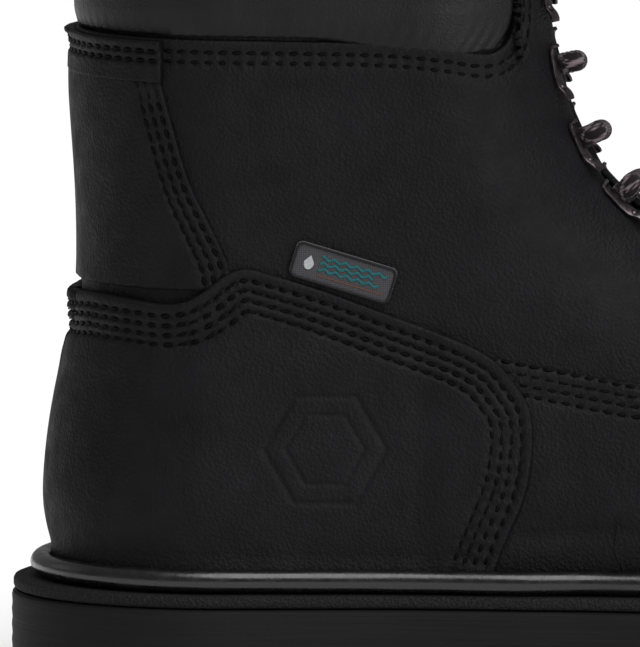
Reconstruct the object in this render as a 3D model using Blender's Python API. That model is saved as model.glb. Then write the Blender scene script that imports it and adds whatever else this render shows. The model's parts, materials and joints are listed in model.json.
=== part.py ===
"""Right work boot: steel toe, padded collar, hooks and eyelets. Metres, +X to the toe, +Z up."""
import math

import bmesh
import bpy
import numpy as np
from mathutils import Matrix

# ---- driving dimensions -------------------------------------------------------------------------
AXIS_X = -0.085            # upright axis the shaft is turned about
SHAFT_TOP = 0.200          # top of the collar
GAP = 0.0003               # clearance between touching pieces
ROUND_REAR = 0.036         # rounding depth of the heel and shaft
ROUND_FRONT = 0.043        # rounding depth of the forefoot
TIP_X = 0.147              # toe end of the upper
FOOT_Z = 0.0374            # lower edge of the shaft's panels
THROAT_X = 0.043           # closed end of the lace opening
BEAD_RADIUS = 0.00265
PLATE_THICKNESS = 0.0034   # stippled sole plate under the bead
LACE_RADIUS = 0.0024
HOLE_RADIUS = 0.0029
HANK_LOW = 0.078
HANK_HIGH = 0.152
HANK_BACK = -0.0985
HANK_FRONT = -0.0640
HOLE_SETBACK = 0.0050      # from a hook to the hole behind it

# layers of the upper: (inner, outer) distance from the quarter's outer face
QUARTER = (-0.0018, 0.0)
BACKSTAY = (0.0005, 0.0015)
VAMP = (0.0008, 0.0018)
COUNTER = (0.0022, 0.0032)
MIDDLE = (-0.0036, -0.0022)
LINING = (-0.0059, -0.0046)
VAMP_LINING = (-0.0042, -0.0030)
STEEL_CAP = (-0.0024, -0.0008)
TONGUE = (-0.0166, -0.0134)
HANK = (-0.0122, -0.0072)
TONGUE_HINGE = (0.0480, 0.0, 0.0845)
FOOTBED_HINGE = (0.1390, 0.0, 0.0385)

# side view of the quarter's outer face, (x, z)
BACK_LINE = [(-0.1403, 0.030), (-0.1405, 0.036), (-0.1434, 0.0464), (-0.1446, 0.053), (-0.1440, 0.0647),
             (-0.1422, 0.0763), (-0.1398, 0.0872), (-0.1384, 0.1028), (-0.1383, 0.113), (-0.1388, 0.129),
             (-0.1397, 0.143), (-0.1402, 0.152), (-0.1396, 0.166), (-0.1388, 0.180), (-0.1378, 0.205),
             (-0.1370, 0.230)]
RIDGE_LINE = [(-0.0255, 0.230), (-0.0260, 0.205), (-0.0246, 0.1704), (-0.0230, 0.1600), (-0.0203, 0.1485),
              (-0.0160, 0.1385), (-0.0090, 0.1290), (0.0040, 0.1200), (0.0200, 0.1120), (0.0360, 0.1052),
              (0.0520, 0.0990), (0.0700, 0.0940), (0.0880, 0.0900), (0.1040, 0.0858), (0.1200, 0.0785),
              (0.1330, 0.0680), (0.1415, 0.0560), (0.1460, 0.0440), (TIP_X, 0.0340), (TIP_X, 0.020)]
SOLE_TOP = [(-0.160, 0.036), (-0.010, 0.036), (0.020, 0.0325), (0.060, 0.028), (0.100, 0.0285),
            (0.130, 0.0325), (0.160, 0.036)]
GROUND = [(-0.160, 0.0), (0.080, 0.0), (0.110, 0.0025), (0.135, 0.0075), (0.160, 0.0130)]
BASE_HALF_WIDTH = [(-0.150, 0.0322), (-0.110, 0.0330), (-0.070, 0.0325), (-0.030, 0.0345), (0.010, 0.0405),
                   (0.050, 0.0470), (0.080, 0.0485), (0.110, 0.0470), (0.150, 0.0440)]
SHAFT_HALF_WIDTH = [(0.030, 0.0335), (0.055, 0.0345), (0.085, 0.0342), (0.110, 0.0345), (0.150, 0.0365),
                    (0.200, 0.0395), (0.230, 0.0400)]
MIDLINE = [(-0.160, 0.0), (-0.070, -0.0010), (-0.030, -0.0030), (0.020, -0.0030), (0.070, -0.0008),
           (0.110, 0.0027), (0.150, 0.0055)]
SOLE_MARGIN = [(-0.160, 0.0161), (-0.115, 0.0108), (-0.030, 0.0095), (0.060, 0.0090), (0.160, 0.0080)]
BEAD_MARGIN = [(-0.160, 0.0065), (-0.038, 0.0065), (-0.015, 0.0050), (0.160, 0.0048)]

BOARD_MARGIN = [(-0.160, -0.0080), (0.000, -0.0080), (0.030, -0.0062), (0.160, -0.0060)]

# seam lines, (x, z) in the side view, running from the back to the front
COLLAR_SEAM = [(-0.0990, 0.1645), (-0.0685, 0.1639), (-0.0543, 0.1627), (-0.0457, 0.1613), (-0.0415, 0.1615),
               (-0.0385, 0.1640), (-0.0371, 0.1690), (-0.0368, 0.1800), (-0.0362, 0.1960)]
COLLAR_BACK_Z = 0.1649
FACING_EDGE = [(0.0385, 0.0960), (0.0310, 0.1000), (0.0200, 0.1055), (0.0040, 0.1140), (-0.0130, 0.1270), (-0.0187, 0.1352),
               (-0.0235, 0.1455), (-0.0262, 0.1560), (-0.0283, 0.1670), (-0.0290, 0.1960)]
UNDERLAP = [(-0.0140, 0.0480), (-0.0050, 0.0620), (0.0140, 0.0770), (0.0385, 0.0960)]
COUNTER_TOP_BACK_Z = 0.1023
COUNTER_TOP = [(-0.1339, 0.1038), (-0.1248, 0.1032), (-0.1182, 0.1026), (-0.1135, 0.1034), (-0.1098, 0.1055),
               (-0.1059, 0.1088), (-0.1030, 0.1106), (-0.0998, 0.1112), (-0.0955, 0.1103), (-0.0813, 0.1059),
               (-0.0652, 0.0999), (-0.0545, 0.0960), (-0.0471, 0.0929), (-0.0413, 0.0892), (-FOOT_Z, 0.0846)]
COUNTER_FRONT = [(-0.0421, 0.0400), (-0.0390, 0.0479), (-0.0345, 0.0590), (-0.0329, 0.0700), (-0.0337, 0.0785),
                 (-FOOT_Z, 0.0846)]
VAMP_EDGE = [(-0.0560, 0.0925), (-0.0478, 0.0935), (-0.0302, 0.0905), (-0.0084, 0.0863), (0.0050, 0.0850),
             (0.0180, 0.0866), (0.0270, 0.0900), (0.0340, 0.0950), (0.0375, 0.0985)]
BACKSTAY_EDGE = [(-0.1028, 0.1060), (-0.1043, 0.1134), (-0.1086, 0.1225), (-0.1118, 0.1290), (-0.1142, 0.1355),
                 (-0.1163, 0.1430), (-0.1186, 0.1515), (-0.1198, 0.1566)]
LABEL = [(-0.0900, 0.1155), (-0.0660, 0.1085)]
LACE_COLOUR = (0.035, 0.028, 0.032)
LEAD_SEATS = [(-0.0400, 0.1855, 0.0102), (-0.0455, 0.1815, 0.0110), (-0.0530, 0.1730, 0.0120),
              (-0.0600, 0.1640, 0.0120), (-0.0655, 0.1565, 0.0105)]
RISER_DEPTH = 0.0102       # lace inside the facing, below its outer face
LACE_LEG = [(-0.0050, -0.0102), (-0.0050, -0.0020), (-0.0049, 0.0022), (-0.0034, 0.0038), (0.0000, 0.0041),
            (0.0050, 0.0038)]
LACE_LEVELS = [(0.0240, 0.1010), (0.0114, 0.1075), (-0.0014, 0.1147), (-0.0141, 0.1251), (-0.0232, 0.1390),
               (-0.0287, 0.1568), (-0.0310, 0.1757)]
COLLAR_LOW = [(-0.1450, 0.1654), (-0.0990, 0.1650), (-0.0685, 0.1644), (-0.0543, 0.1633), (-0.0457, 0.1624),
              (-0.0400, 0.1640)]
COLLAR_FRONT = [(0.1590, -0.0440), (0.1640, -0.0404), (0.1690, -0.0384), (0.2100, -0.0374)]


def curve(points, at):
    """Monotone cubic through the points, evaluated at the values."""
    xs = np.array([p[0] for p in points], float)
    ys = np.array([p[1] for p in points], float)
    step = np.diff(xs)
    slope = np.diff(ys) / step
    tangent = np.zeros_like(ys)
    tangent[0] = slope[0]
    tangent[-1] = slope[-1]
    for k in range(1, len(xs) - 1):
        if slope[k - 1] * slope[k] > 0.0:
            tangent[k] = 2.0 * slope[k - 1] * slope[k] / (slope[k - 1] + slope[k])
    at = np.clip(np.asarray(at, float), xs[0], xs[-1])
    index = np.clip(np.searchsorted(xs, at) - 1, 0, len(step) - 1)
    h = step[index]
    t = (at - xs[index]) / h
    return ((1 + 2 * t) * (1 - t) ** 2 * ys[index] + t * (1 - t) ** 2 * h * tangent[index]
            + t * t * (3 - 2 * t) * ys[index + 1] + t * t * (t - 1) * h * tangent[index + 1])


def resample(points, count, tight_end=1.0):
    """Points evenly along a polyline, smoothed with a centripetal-free Catmull-Rom."""
    pts = np.array(points, float)
    ends = np.vstack([2 * pts[0] - pts[1], pts, 2 * pts[-1] - pts[-2]])
    dense = []
    for k in range(len(pts) - 1):
        a, b, c, d = ends[k:k + 4]
        for t in np.linspace(0, 1, 12, endpoint=False):
            dense.append(0.5 * (2 * b + (c - a) * t + (2 * a - 5 * b + 4 * c - d) * t * t
                                + (3 * b - a - 3 * c + d) * t ** 3))
    dense.append(pts[-1])
    dense = np.array(dense)
    run = np.concatenate([[0], np.cumsum(np.linalg.norm(np.diff(dense, axis=0), axis=1))])
    where = np.linspace(0, 1, count) ** tight_end * run[-1]
    return np.stack([np.interp(where, run, dense[:, i]) for i in range(dense.shape[1])], axis=1)


def smoothstep(low, high, value):
    t = np.clip((np.asarray(value, float) - low) / (high - low), 0.0, 1.0)
    return t * t * (3 - 2 * t)


SILHOUETTE = np.vstack([resample([(x, z) for x, z in BACK_LINE], 40)])
RIDGE = resample(RIDGE_LINE, 70)


def polyline_distance(points, line):
    """Signed distance to an open polyline, positive on its right-hand side."""
    a = line[:-1]
    b = line[1:]
    ab = b - a
    length2 = (ab ** 2).sum(axis=1)
    best = np.full(len(points), 1e9)
    sign = np.ones(len(points))
    for k in range(len(a)):
        rel = points - a[k]
        t = np.clip((rel @ ab[k]) / length2[k], 0, 1)
        gap = rel - t[:, None] * ab[k]
        dist = np.sqrt((gap ** 2).sum(axis=1))
        side = ab[k][1] * rel[:, 0] - ab[k][0] * rel[:, 1]
        closer = dist < best - 1e-12
        best = np.where(closer, dist, best)
        sign = np.where(closer, np.sign(side), sign)
    return best * np.where(sign == 0, 1, sign)


def depth_in(x, z):
    """How deep a side-view point lies inside the upper, as a share of the local rounding depth."""
    flat = np.stack([np.ravel(x), np.ravel(z)], axis=1)
    back = polyline_distance(flat, SILHOUETTE)
    front = -polyline_distance(flat, RIDGE[::-1])
    rear_share = back / ROUND_REAR
    front_depth = ROUND_REAR + (ROUND_FRONT - ROUND_REAR) * smoothstep(-0.03, 0.03, flat[:, 0])
    return np.minimum(rear_share, front / front_depth).reshape(np.shape(x))


def middle_y(x, z):
    return curve(MIDLINE, x) * (1 - smoothstep(0.05, 0.12, z))


def half_width(x, z):
    base = curve(BASE_HALF_WIDTH, x) + 0.0015 * np.exp(-((np.asarray(z) - 0.055) / 0.02) ** 2)
    shaft = curve(SHAFT_HALF_WIDTH, z)
    return base + (shaft - base) * smoothstep(0.045, 0.125, z)


def field(p):
    """Negative inside the quarter's outer face, zero on it."""
    x, y, z = p[..., 0], p[..., 1], p[..., 2]
    t = np.minimum(depth_in(x, z), 1.0)
    return ((y - middle_y(x, z)) / half_width(x, z)) ** 2 + (1 - t) ** 2 - 1


def normal_at(p):
    eps = 2e-4
    grad = np.stack([field(p + eps * axis) - field(p - eps * axis) for axis in np.eye(3)], axis=-1)
    return grad / np.linalg.norm(grad, axis=-1, keepdims=True)


def cast(origin, direction):
    """First crossing of the upper's face along rays that start inside it."""
    low = np.zeros(origin.shape[:-1])
    high = np.full(origin.shape[:-1], 0.26)
    for _ in range(26):
        mid = 0.5 * (low + high)
        inside = field(origin + mid[..., None] * direction) < 0
        low = np.where(inside, mid, low)
        high = np.where(inside, high, mid)
    return origin + low[..., None] * direction


def side_y(x, z, side):
    """Side +1 medial, -1 lateral."""
    t = np.clip(depth_in(x, z), 0.0, 1.0)
    return middle_y(x, z) + side * half_width(x, z) * np.sqrt(1 - (1 - t) ** 2)


def turn_of(line, side):
    """Side-view points as (turn from the back, z) on one side."""
    x = line[:, 0]
    z = line[:, 1]
    y = side_y(x, z, side)
    return np.stack([side * np.arctan2(np.abs(y), -(x - AXIS_X)), z], axis=1)


def face_line(points, side, count, start=None):
    """A side-view seam carried onto one side of the face, evenly spaced along the face."""
    line = turn_of(resample(points, 80), side)
    if start is not None:
        line = np.vstack([[start], line])
    step = np.hypot(np.diff(line[:, 0]) * 0.055, np.diff(line[:, 1]))
    run = np.concatenate([[0], np.cumsum(step)])
    where = np.linspace(0, run[-1], count)
    return np.stack([np.interp(where, run, line[:, k]) for k in (0, 1)], axis=1)


def shaft_points(turn, z):
    """Points of the face at a turn from the back (+ medial) and a height."""
    direction = np.stack([-np.cos(turn), np.sin(turn), np.zeros_like(turn)], axis=-1)
    origin = np.stack([np.full_like(turn, AXIS_X), np.zeros_like(turn), z], axis=-1)
    return cast(origin, direction)


def arch_points(x, angle, z0):
    """Points of the face in an upright cross-section: angle 0 is the ridge, + medial."""
    direction = np.stack([np.zeros_like(x), np.sin(angle), np.cos(angle)], axis=-1)
    origin = np.stack([x, middle_y(x, z0 + 0 * x), z0 + 0 * x], axis=-1)
    return cast(origin, direction)


def sole_top(x):
    return curve(SOLE_TOP, x)


def coons(bottom, top, left, right):
    """Grid between four boundary curves that share their corners."""
    nu = len(bottom)
    nv = len(left)
    u = np.linspace(0, 1, nu)[:, None, None]
    v = np.linspace(0, 1, nv)[None, :, None]
    ruled_v = (1 - v) * bottom[:, None] + v * top[:, None]
    ruled_u = (1 - u) * left[None] + u * right[None]
    corners = ((1 - u) * (1 - v) * bottom[0] + u * (1 - v) * bottom[-1]
               + (1 - u) * v * top[0] + u * v * top[-1])
    return ruled_v + ruled_u - corners


# ---- making solids ------------------------------------------------------------------------------
def node(name, verts, faces, colour, rough=0.6, metal=0.0, smooth=True):
    mesh = bpy.data.meshes.new(name)
    mesh.from_pydata([tuple(map(float, v)) for v in verts], [], [tuple(int(i) for i in f) for f in faces])
    bm = bmesh.new()
    bm.from_mesh(mesh)
    bmesh.ops.recalc_face_normals(bm, faces=bm.faces)
    if bm.calc_volume(signed=True) < 0:
        bmesh.ops.reverse_faces(bm, faces=bm.faces)
    bm.to_mesh(mesh)
    bm.free()
    mesh.polygons.foreach_set("use_smooth", [smooth] * len(mesh.polygons))
    if smooth:
        mesh.set_sharp_from_angle(angle=math.radians(40))
    obj = bpy.data.objects.new(name, mesh)
    bpy.context.scene.collection.objects.link(obj)
    obj.data.materials.append(principled(name, colour, rough, metal))
    return obj


def hinge_on(obj, pivot):
    """Moves the object's origin onto its joint axis."""
    obj.data.transform(Matrix.Translation([-value for value in pivot]))
    obj.location = pivot


def principled(name, colour, rough, metal):
    mat = bpy.data.materials.new(name)
    mat.use_nodes = True
    shader = mat.node_tree.nodes["Principled BSDF"]
    shader.inputs["Base Color"].default_value = (*colour, 1.0)
    shader.inputs["Roughness"].default_value = rough
    shader.inputs["Metallic"].default_value = metal
    mat.diffuse_color = (*colour, 1.0)
    return mat


def shell(points, normals, faces, layer):
    """Closed solid between two distances from a patch."""
    count = len(points)
    verts = np.vstack([points + normals * layer[1], points + normals * layer[0]])
    solid = [tuple(f) for f in faces] + [tuple(i + count for i in reversed(f)) for f in faces]
    edges = {}
    for f in faces:
        for a, b in zip(f, f[1:] + f[:1]):
            edges[(a, b)] = True
    for a, b in edges:
        if (b, a) not in edges:
            solid.append((b, a, a + count, b + count))
    return verts, solid


def grid_faces(nu, nv, closed_u=False):
    faces = []
    for i in range(nu if closed_u else nu - 1):
        for j in range(nv - 1):
            k = (i + 1) % nu
            faces.append((i * nv + j, k * nv + j, k * nv + j + 1, i * nv + j + 1))
    return faces


def shaft_panel(name, params, layer, colour, rough=0.6):
    points = shaft_points(params[..., 0], params[..., 1])
    normals = normal_at(points)
    nu, nv = params.shape[:2]
    verts, faces = shell(points.reshape(-1, 3), normals.reshape(-1, 3), grid_faces(nu, nv), layer)
    return node(name, verts, faces, colour, rough)


def tube(name, path, radius, sides, colour, rough=0.7, metal=0.0, closed=False):
    path = np.array(path, float)
    count = len(path)
    ahead = np.roll(path, -1, axis=0) - np.roll(path, 1, axis=0)
    if not closed:
        ahead[0] = path[1] - path[0]
        ahead[-1] = path[-1] - path[-2]
    ahead /= np.linalg.norm(ahead, axis=1, keepdims=True)
    frame = np.cross(ahead[0], (0.0, 0.0, 1.0) if abs(ahead[0][2]) < 0.9 else (0.0, 1.0, 0.0))
    rings = []
    for k in range(count):
        frame = frame - ahead[k] * (frame @ ahead[k])
        frame /= np.linalg.norm(frame)
        other = np.cross(ahead[k], frame)
        for a in np.linspace(0, 2 * math.pi, sides, endpoint=False):
            rings.append(path[k] + radius * (math.cos(a) * frame + math.sin(a) * other))
    faces = []
    for k in range(count if closed else count - 1):
        n = (k + 1) % count
        for a in range(sides):
            b = (a + 1) % sides
            faces.append((k * sides + a, k * sides + b, n * sides + b, n * sides + a))
    if not closed:
        faces.append(tuple(range(sides)))
        faces.append(tuple((count - 1) * sides + a for a in range(sides)))
    return node(name, rings, faces, colour, rough, metal)


# ---- sole ---------------------------------------------------------------------------------------
def plan_outline(margin, half_count, x_back=-0.1413, x_front=TIP_X):
    """Closed plan curve round the upper's foot, pushed out by a margin along x."""
    k = np.arange(half_count + 1)
    x = 0.5 * (x_back + x_front) - 0.5 * (x_front - x_back) * np.cos(math.pi * k / half_count)
    z = sole_top(x) + 0.002
    y = middle_y(x, z) - half_width(x, z) * plan_share(x, x_back, x_front)
    lateral = np.stack([x, y], axis=1)
    medial = np.stack([x, 2 * middle_y(x, z) - y], axis=1)[1:-1][::-1]
    loop = np.vstack([lateral, medial])
    ahead = np.roll(loop, -1, axis=0) - np.roll(loop, 1, axis=0)
    out = np.stack([ahead[:, 1], -ahead[:, 0]], axis=1)
    out /= np.linalg.norm(out, axis=1, keepdims=True)
    amount = margin(loop[:, 0]) if callable(margin) else margin
    return loop + out * np.reshape(amount, (-1, 1))


def plan_share(x, x_back, x_front):
    rear = np.clip((x - x_back) / ROUND_REAR, 0, 1)
    front = np.clip((x_front - x) / ROUND_FRONT, 0, 1)
    t = np.minimum(rear, front)
    return np.sqrt(1 - (1 - t) ** 2)


def slab(name, outline, top, bottom, colour, rough=0.7, chamfer=0.0):
    """Solid between two height functions of x inside a plan outline of paired points."""
    count = len(outline)
    centre = np.stack([outline[:, 0], 0 * outline[:, 0]], axis=1)
    inner = outline + (centre - outline) * 0.0
    ahead = np.roll(outline, -1, axis=0) - np.roll(outline, 1, axis=0)
    out = np.stack([ahead[:, 1], -ahead[:, 0]], axis=1)
    out /= np.linalg.norm(out, axis=1, keepdims=True)
    inner = outline - out * chamfer
    rings = []
    if chamfer:
        rings.append((inner, bottom(inner[:, 0])))
        rings.append((outline, bottom(outline[:, 0]) + chamfer))
        rings.append((outline, top(outline[:, 0]) - chamfer * 0.4))
        rings.append((outline - out * chamfer * 0.4, top(outline[:, 0])))
    else:
        rings.append((outline, bottom(outline[:, 0])))
        rings.append((outline, top(outline[:, 0])))
    verts = [(*xy, z) for ring, heights in rings for xy, z in zip(ring, heights)]
    faces = []
    for r in range(len(rings) - 1):
        for k in range(count):
            n = (k + 1) % count
            faces.append((r * count + k, r * count + n, (r + 1) * count + n, (r + 1) * count + k))
    half = count // 2
    for base in (0, (len(rings) - 1) * count):
        for k in range(half):
            a = base + k
            b = base + k + 1
            c = base + (count - k - 1) % count
            d = base + (count - k) % count
            quad = [a, b, c, d]
            faces.append(tuple(dict.fromkeys(quad)))
    return node(name, verts, faces, colour, rough)


def cutter(name, centre, size, turn=0.0):
    mesh = bpy.data.meshes.new(name)
    bm = bmesh.new()
    bmesh.ops.create_cube(bm, size=1.0)
    bmesh.ops.scale(bm, vec=size, verts=bm.verts)
    bm.to_mesh(mesh)
    bm.free()
    obj = bpy.data.objects.new(name, mesh)
    obj.location = centre
    obj.rotation_euler = (0, 0, turn)
    obj.hide_render = True
    obj.display_type = "WIRE"
    bpy.context.scene.collection.objects.link(obj)
    return obj


def cut(target, tool):
    mod = target.modifiers.new(tool.name, "BOOLEAN")
    mod.operation = "DIFFERENCE"
    mod.solver = "MANIFOLD" if "lace_hole" in tool.name else "EXACT"
    mod.object = tool


def build_sole():
    plate_top = lambda x: sole_top(x) - GAP
    plate_bottom = lambda x: sole_top(x) - PLATE_THICKNESS
    outer = plan_outline(lambda x: curve(SOLE_MARGIN, x), 28)
    slab("sole_plate", plan_outline(lambda x: curve(SOLE_MARGIN, x) - 0.0004, 28), plate_top, plate_bottom,
         (0.025, 0.025, 0.027), 0.9)
    outsole_top = lambda x: plate_bottom(x) - GAP
    ground = lambda x: curve(GROUND, x) + 0.011 * smoothstep(-0.066, -0.060, x) * (1 - smoothstep(-0.030, 0.004, x))
    outsole = slab("outsole", outer, outsole_top, ground, (0.022, 0.022, 0.024), 0.85, chamfer=0.0015)
    for k in range(6):
        x = 0.014 + 0.023 * k
        lift = float(curve(GROUND, x))
        cut(outsole, cutter(f"tread_cut_{k}", (x, 0.0, lift), (0.0055, 0.14, 0.011), 0.12))
    for k in range(2):
        cut(outsole, cutter(f"heel_cut_{k}", (-0.131 + 0.028 * k, 0.0, 0.0), (0.0055, 0.14, 0.009)))
    cut(outsole, cutter("tread_channel", (0.070, 0.003, 0.0), (0.124, 0.006, 0.011)))
    loop = plan_outline(lambda x: curve(BEAD_MARGIN, x), 30)
    bead = np.column_stack([loop, sole_top(loop[:, 0]) + BEAD_RADIUS + 0.0001])
    tube("welt_bead", bead, BEAD_RADIUS, 7, (0.02, 0.02, 0.02), 0.2, closed=True)


def inner_plate(name, margin, low, high, colour):
    return slab(name, plan_outline(margin, 18), lambda x: sole_top(x) + high, lambda x: sole_top(x) + low, colour, 0.8)


def build_inside():
    shank = np.array([(-0.100, -0.007), (-0.050, -0.010), (-0.018, -0.009), (-0.018, 0.005), (-0.050, 0.007),
                      (-0.100, 0.007)])
    slab("steel_shank", shank, lambda x: sole_top(x) + 0.0013, lambda x: sole_top(x) + GAP,
         (0.55, 0.56, 0.58), 0.35)
    board_margin = lambda x: curve(BOARD_MARGIN, x)
    footbed_margin = lambda x: curve(BOARD_MARGIN, x) - 0.0006
    inner_plate("insole_board", board_margin, 0.0017, 0.0037, (0.35, 0.26, 0.17))
    hinge_on(inner_plate("footbed", footbed_margin, 0.0041, 0.0091, (0.06, 0.06, 0.065)), FOOTBED_HINGE)


# ---- upper --------------------------------------------------------------------------------------
def quarter_params(side, nu, nv):
    seam_turn = side * 0.006
    bottom = face_line([(-0.1300, FOOT_Z), (-0.0220, FOOT_Z)] + UNDERLAP, side, nu, (seam_turn, FOOT_Z))
    head = [(-0.1300, COLLAR_BACK_Z)] + COLLAR_SEAM + [FACING_EDGE[-1]]
    top = face_line(head, side, nu, (seam_turn, COLLAR_BACK_Z))
    left = np.stack([np.full(nv, seam_turn), np.linspace(FOOT_Z, COLLAR_BACK_Z, nv)], axis=1)
    right = turn_of(resample(FACING_EDGE, nv), side)
    return coons(bottom, top, left, right)


def build_quarter(side, label):
    shaft_panel(f"quarter_{label}", quarter_params(side, 26, 12), QUARTER, (0.013, 0.013, 0.014))


def backstay_params(nu, nv):
    edge = resample(BACKSTAY_EDGE, nv)
    left = turn_of(edge, -1)
    right = turn_of(edge, 1)
    u = np.linspace(0, 1, nu)[:, None, None]
    return left[None] * (1 - u) + right[None] * u


def band_params(low, high, x_limit, nu, nv):
    end_low = turn_of(np.array([(x_limit, low)]), 1)[0][0]
    end_high = turn_of(np.array([(x_limit, high)]), 1)[0][0]
    u = np.linspace(-1, 1, nu)[:, None]
    v = np.linspace(0, 1, nv)[None, :]
    turn = u * (end_low * (1 - v) + end_high * v)
    return np.stack([turn, low + (high - low) * v + 0 * u], axis=-1)


def wrap_params(front_edge, top_line, foot_line, nu, nv):
    """From the lateral front edge round the back to the medial one."""
    half = nu // 2 + 1
    top = {side: face_line(top_line, side, half, (0.0, top_line[0][1])) for side in (-1, 1)}
    foot = {side: face_line(foot_line, side, half, (0.0, foot_line[0][1])) for side in (-1, 1)}
    top_row = np.vstack([top[-1][:0:-1], top[1]])
    foot_row = np.vstack([foot[-1][:0:-1], foot[1]])
    edge = resample(front_edge, nv)
    return coons(foot_row, top_row, turn_of(edge, -1), turn_of(edge, 1))


def vamp_patch(x_start, x_end, edge, n_wing, n_front, nv, low):
    """Slit arch: open above the throat, whole in front of it."""
    edge_x = np.array([p[0] for p in edge] + [THROAT_X])
    wing_x = resample([(x, 0.0) for x in (x_start, THROAT_X)], n_wing, 0.85)[:, 0]
    span = x_end - THROAT_X
    front_x = THROAT_X + span * np.sin(0.5 * math.pi * np.arange(1, n_front + 1) / n_front)
    xs = np.concatenate([wing_x, front_x])
    index = {}
    points = []
    for i, x in enumerate(xs):
        z0 = float(sole_top(x)) + low
        slit = 0.0
        if x < THROAT_X - 1e-9:
            if x <= edge[-1][0]:
                z_edge = float(curve(edge, x))
                y_edge = float(side_y(np.array([x]), np.array([z_edge]), 1)[0])
            else:
                share = (THROAT_X - x) / (THROAT_X - edge[-1][0])
                y_last = float(side_y(np.array([edge[-1][0]]), np.array([edge[-1][1]]), 1)[0])
                y_edge = y_last * math.sqrt(max(share, 0.0))
                z_edge = None
            if z_edge is None:
                ridge_z = float(np.interp(x, RIDGE[:, 0], RIDGE[:, 1]))
                slit = math.atan2(y_edge, ridge_z - z0)
            else:
                slit = math.atan2(y_edge - float(middle_y(x, z_edge)), z_edge - z0)
        for j in range(2 * nv + 1):
            side = -1 if j < nv else 1
            share = abs(j - nv) / nv
            if j == nv and slit > 0:
                for s in (-1, 1):
                    index[(i, j, s)] = len(points)
                    points.append((x, s * slit, z0))
                continue
            angle = side * (slit + (0.5 * math.pi - slit) * share)
            index[(i, j, 0)] = len(points)
            points.append((x, angle, z0))
    raw = np.array(points)
    surface = arch_points(raw[:, 0], raw[:, 1], raw[:, 2])
    normals = normal_at(surface)

    def at(i, j, side):
        return index[(i, j, 0)] if (i, j, 0) in index else index[(i, j, side)]

    faces = []
    for i in range(len(xs) - 1):
        for j in range(2 * nv):
            side = -1 if j < nv else 1
            faces.append((at(i, j, side), at(i + 1, j, side), at(i + 1, j + 1, side), at(i, j + 1, side)))
    return surface, normals, faces


def build_vamp():
    points, normals, faces = vamp_patch(-0.0560, TIP_X - 0.00002, VAMP_EDGE, 13, 11, 7, 0.0009)
    verts, solid = shell(points, normals, faces, VAMP)
    node("vamp", verts, solid, (0.013, 0.013, 0.014), 0.55)
    points, normals, faces = vamp_patch(0.0145, TIP_X - 0.00005, VAMP_EDGE, 5, 9, 6, 0.0009)
    verts, solid = shell(points, normals, faces, VAMP_LINING)
    node("vamp_lining", verts, solid, (0.05, 0.05, 0.05), 0.9)


def arch_panel(name, x_values, z_low, nv, layer, colour, rough=0.5, metal=0.0, reach=0.5 * math.pi):
    x = np.repeat(np.asarray(x_values), nv)
    angle = np.tile(np.linspace(-reach, reach, nv), len(x_values))
    points = arch_points(x, angle, sole_top(x) + z_low)
    verts, faces = shell(points, normal_at(points), grid_faces(len(x_values), nv), layer)
    return node(name, verts, faces, colour, rough, metal)


def build_toe():
    tip = TIP_X - 0.00005
    back = 0.092
    x = back + (tip - back) * np.sin(0.5 * math.pi * np.linspace(0, 1, 9))
    arch_panel("steel_toe_cap", x, 0.0009, 15, STEEL_CAP, (0.55, 0.56, 0.58), 0.35, 1.0)
    arch_panel("toe_cap_edge_strip", np.linspace(0.0835, 0.0915, 3), 0.0009, 15, STEEL_CAP, (0.03, 0.03, 0.03))


def build_tongue():
    """Padded strip under the lace opening, hinged at the throat."""
    z = np.array([0.0985, 0.103, 0.110, 0.117, 0.126, 0.136, 0.147, 0.159, 0.171, 0.183, 0.194, 0.2035])
    rows = []
    for height in z:
        ridge_x = float(np.interp(-height, -RIDGE[::-1, 1][::-1], RIDGE[::-1, 0][::-1]))
        rows.append((ridge_x, height))
    centre = np.array(rows)
    spread = np.interp(z, [0.0985, 0.115, 0.150, 0.2035], [0.0240, 0.0280, 0.0290, 0.0295])
    nu = 9
    points = []
    for (x, height), width in zip(centre, spread):
        for y in np.linspace(-width, width, nu):
            points.append((x, y, height))
    pts = np.array(points)
    inner_start = pts - np.array([0.05, 0, 0.02])
    direction = np.tile(np.array([[0.9285, 0.0, 0.3714]]), (len(pts), 1))
    surface = cast(inner_start, direction)
    verts, faces = shell(surface, normal_at(surface), grid_faces(len(z), nu), TONGUE)
    hinge_on(node("tongue", verts, faces, (0.02, 0.02, 0.021), 0.6), TONGUE_HINGE)


def swept(name, profile, low, count, colour, rough=0.6):
    """Closed collar section carried round the shaft: profile of (height share, rear offset, front offset)."""
    profile = np.array(profile)
    turns = np.linspace(-1, 1, count)
    size = len(profile)
    verts = []
    for u in turns:
        side = -1 if u < 0 else 1
        share = abs(u)
        z_high = SHAFT_TOP
        guess_turn = share * abs(turn_of(np.array([(-0.0378, 0.180)]), 1)[0][0])
        guess = shaft_points(np.array([side * guess_turn]), np.array([0.165]))[0]
        z_low = float(curve(COLLAR_LOW, guess[0])) + low
        z = z_low + profile[:, 0] * (z_high - z_low)
        front = np.stack([curve(COLLAR_FRONT, z), z], axis=1)
        turn = side * share * np.abs(turn_of(front, 1)[:, 0])
        surface = shaft_points(turn, z)
        blend = smoothstep(0.70, 1.0, share)
        offset = profile[:, 1] * (1 - blend) + profile[:, 2] * blend
        verts.append(surface + normal_at(surface) * offset[:, None])
    faces = []
    for i in range(count - 1):
        for j in range(size):
            k = (j + 1) % size
            faces.append((i * size + j, i * size + k, (i + 1) * size + k, (i + 1) * size + j))
    faces.append(tuple(range(size)))
    faces.append(tuple((count - 1) * size + j for j in range(size)))
    return node(name, np.vstack(verts), faces, colour, rough)


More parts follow.
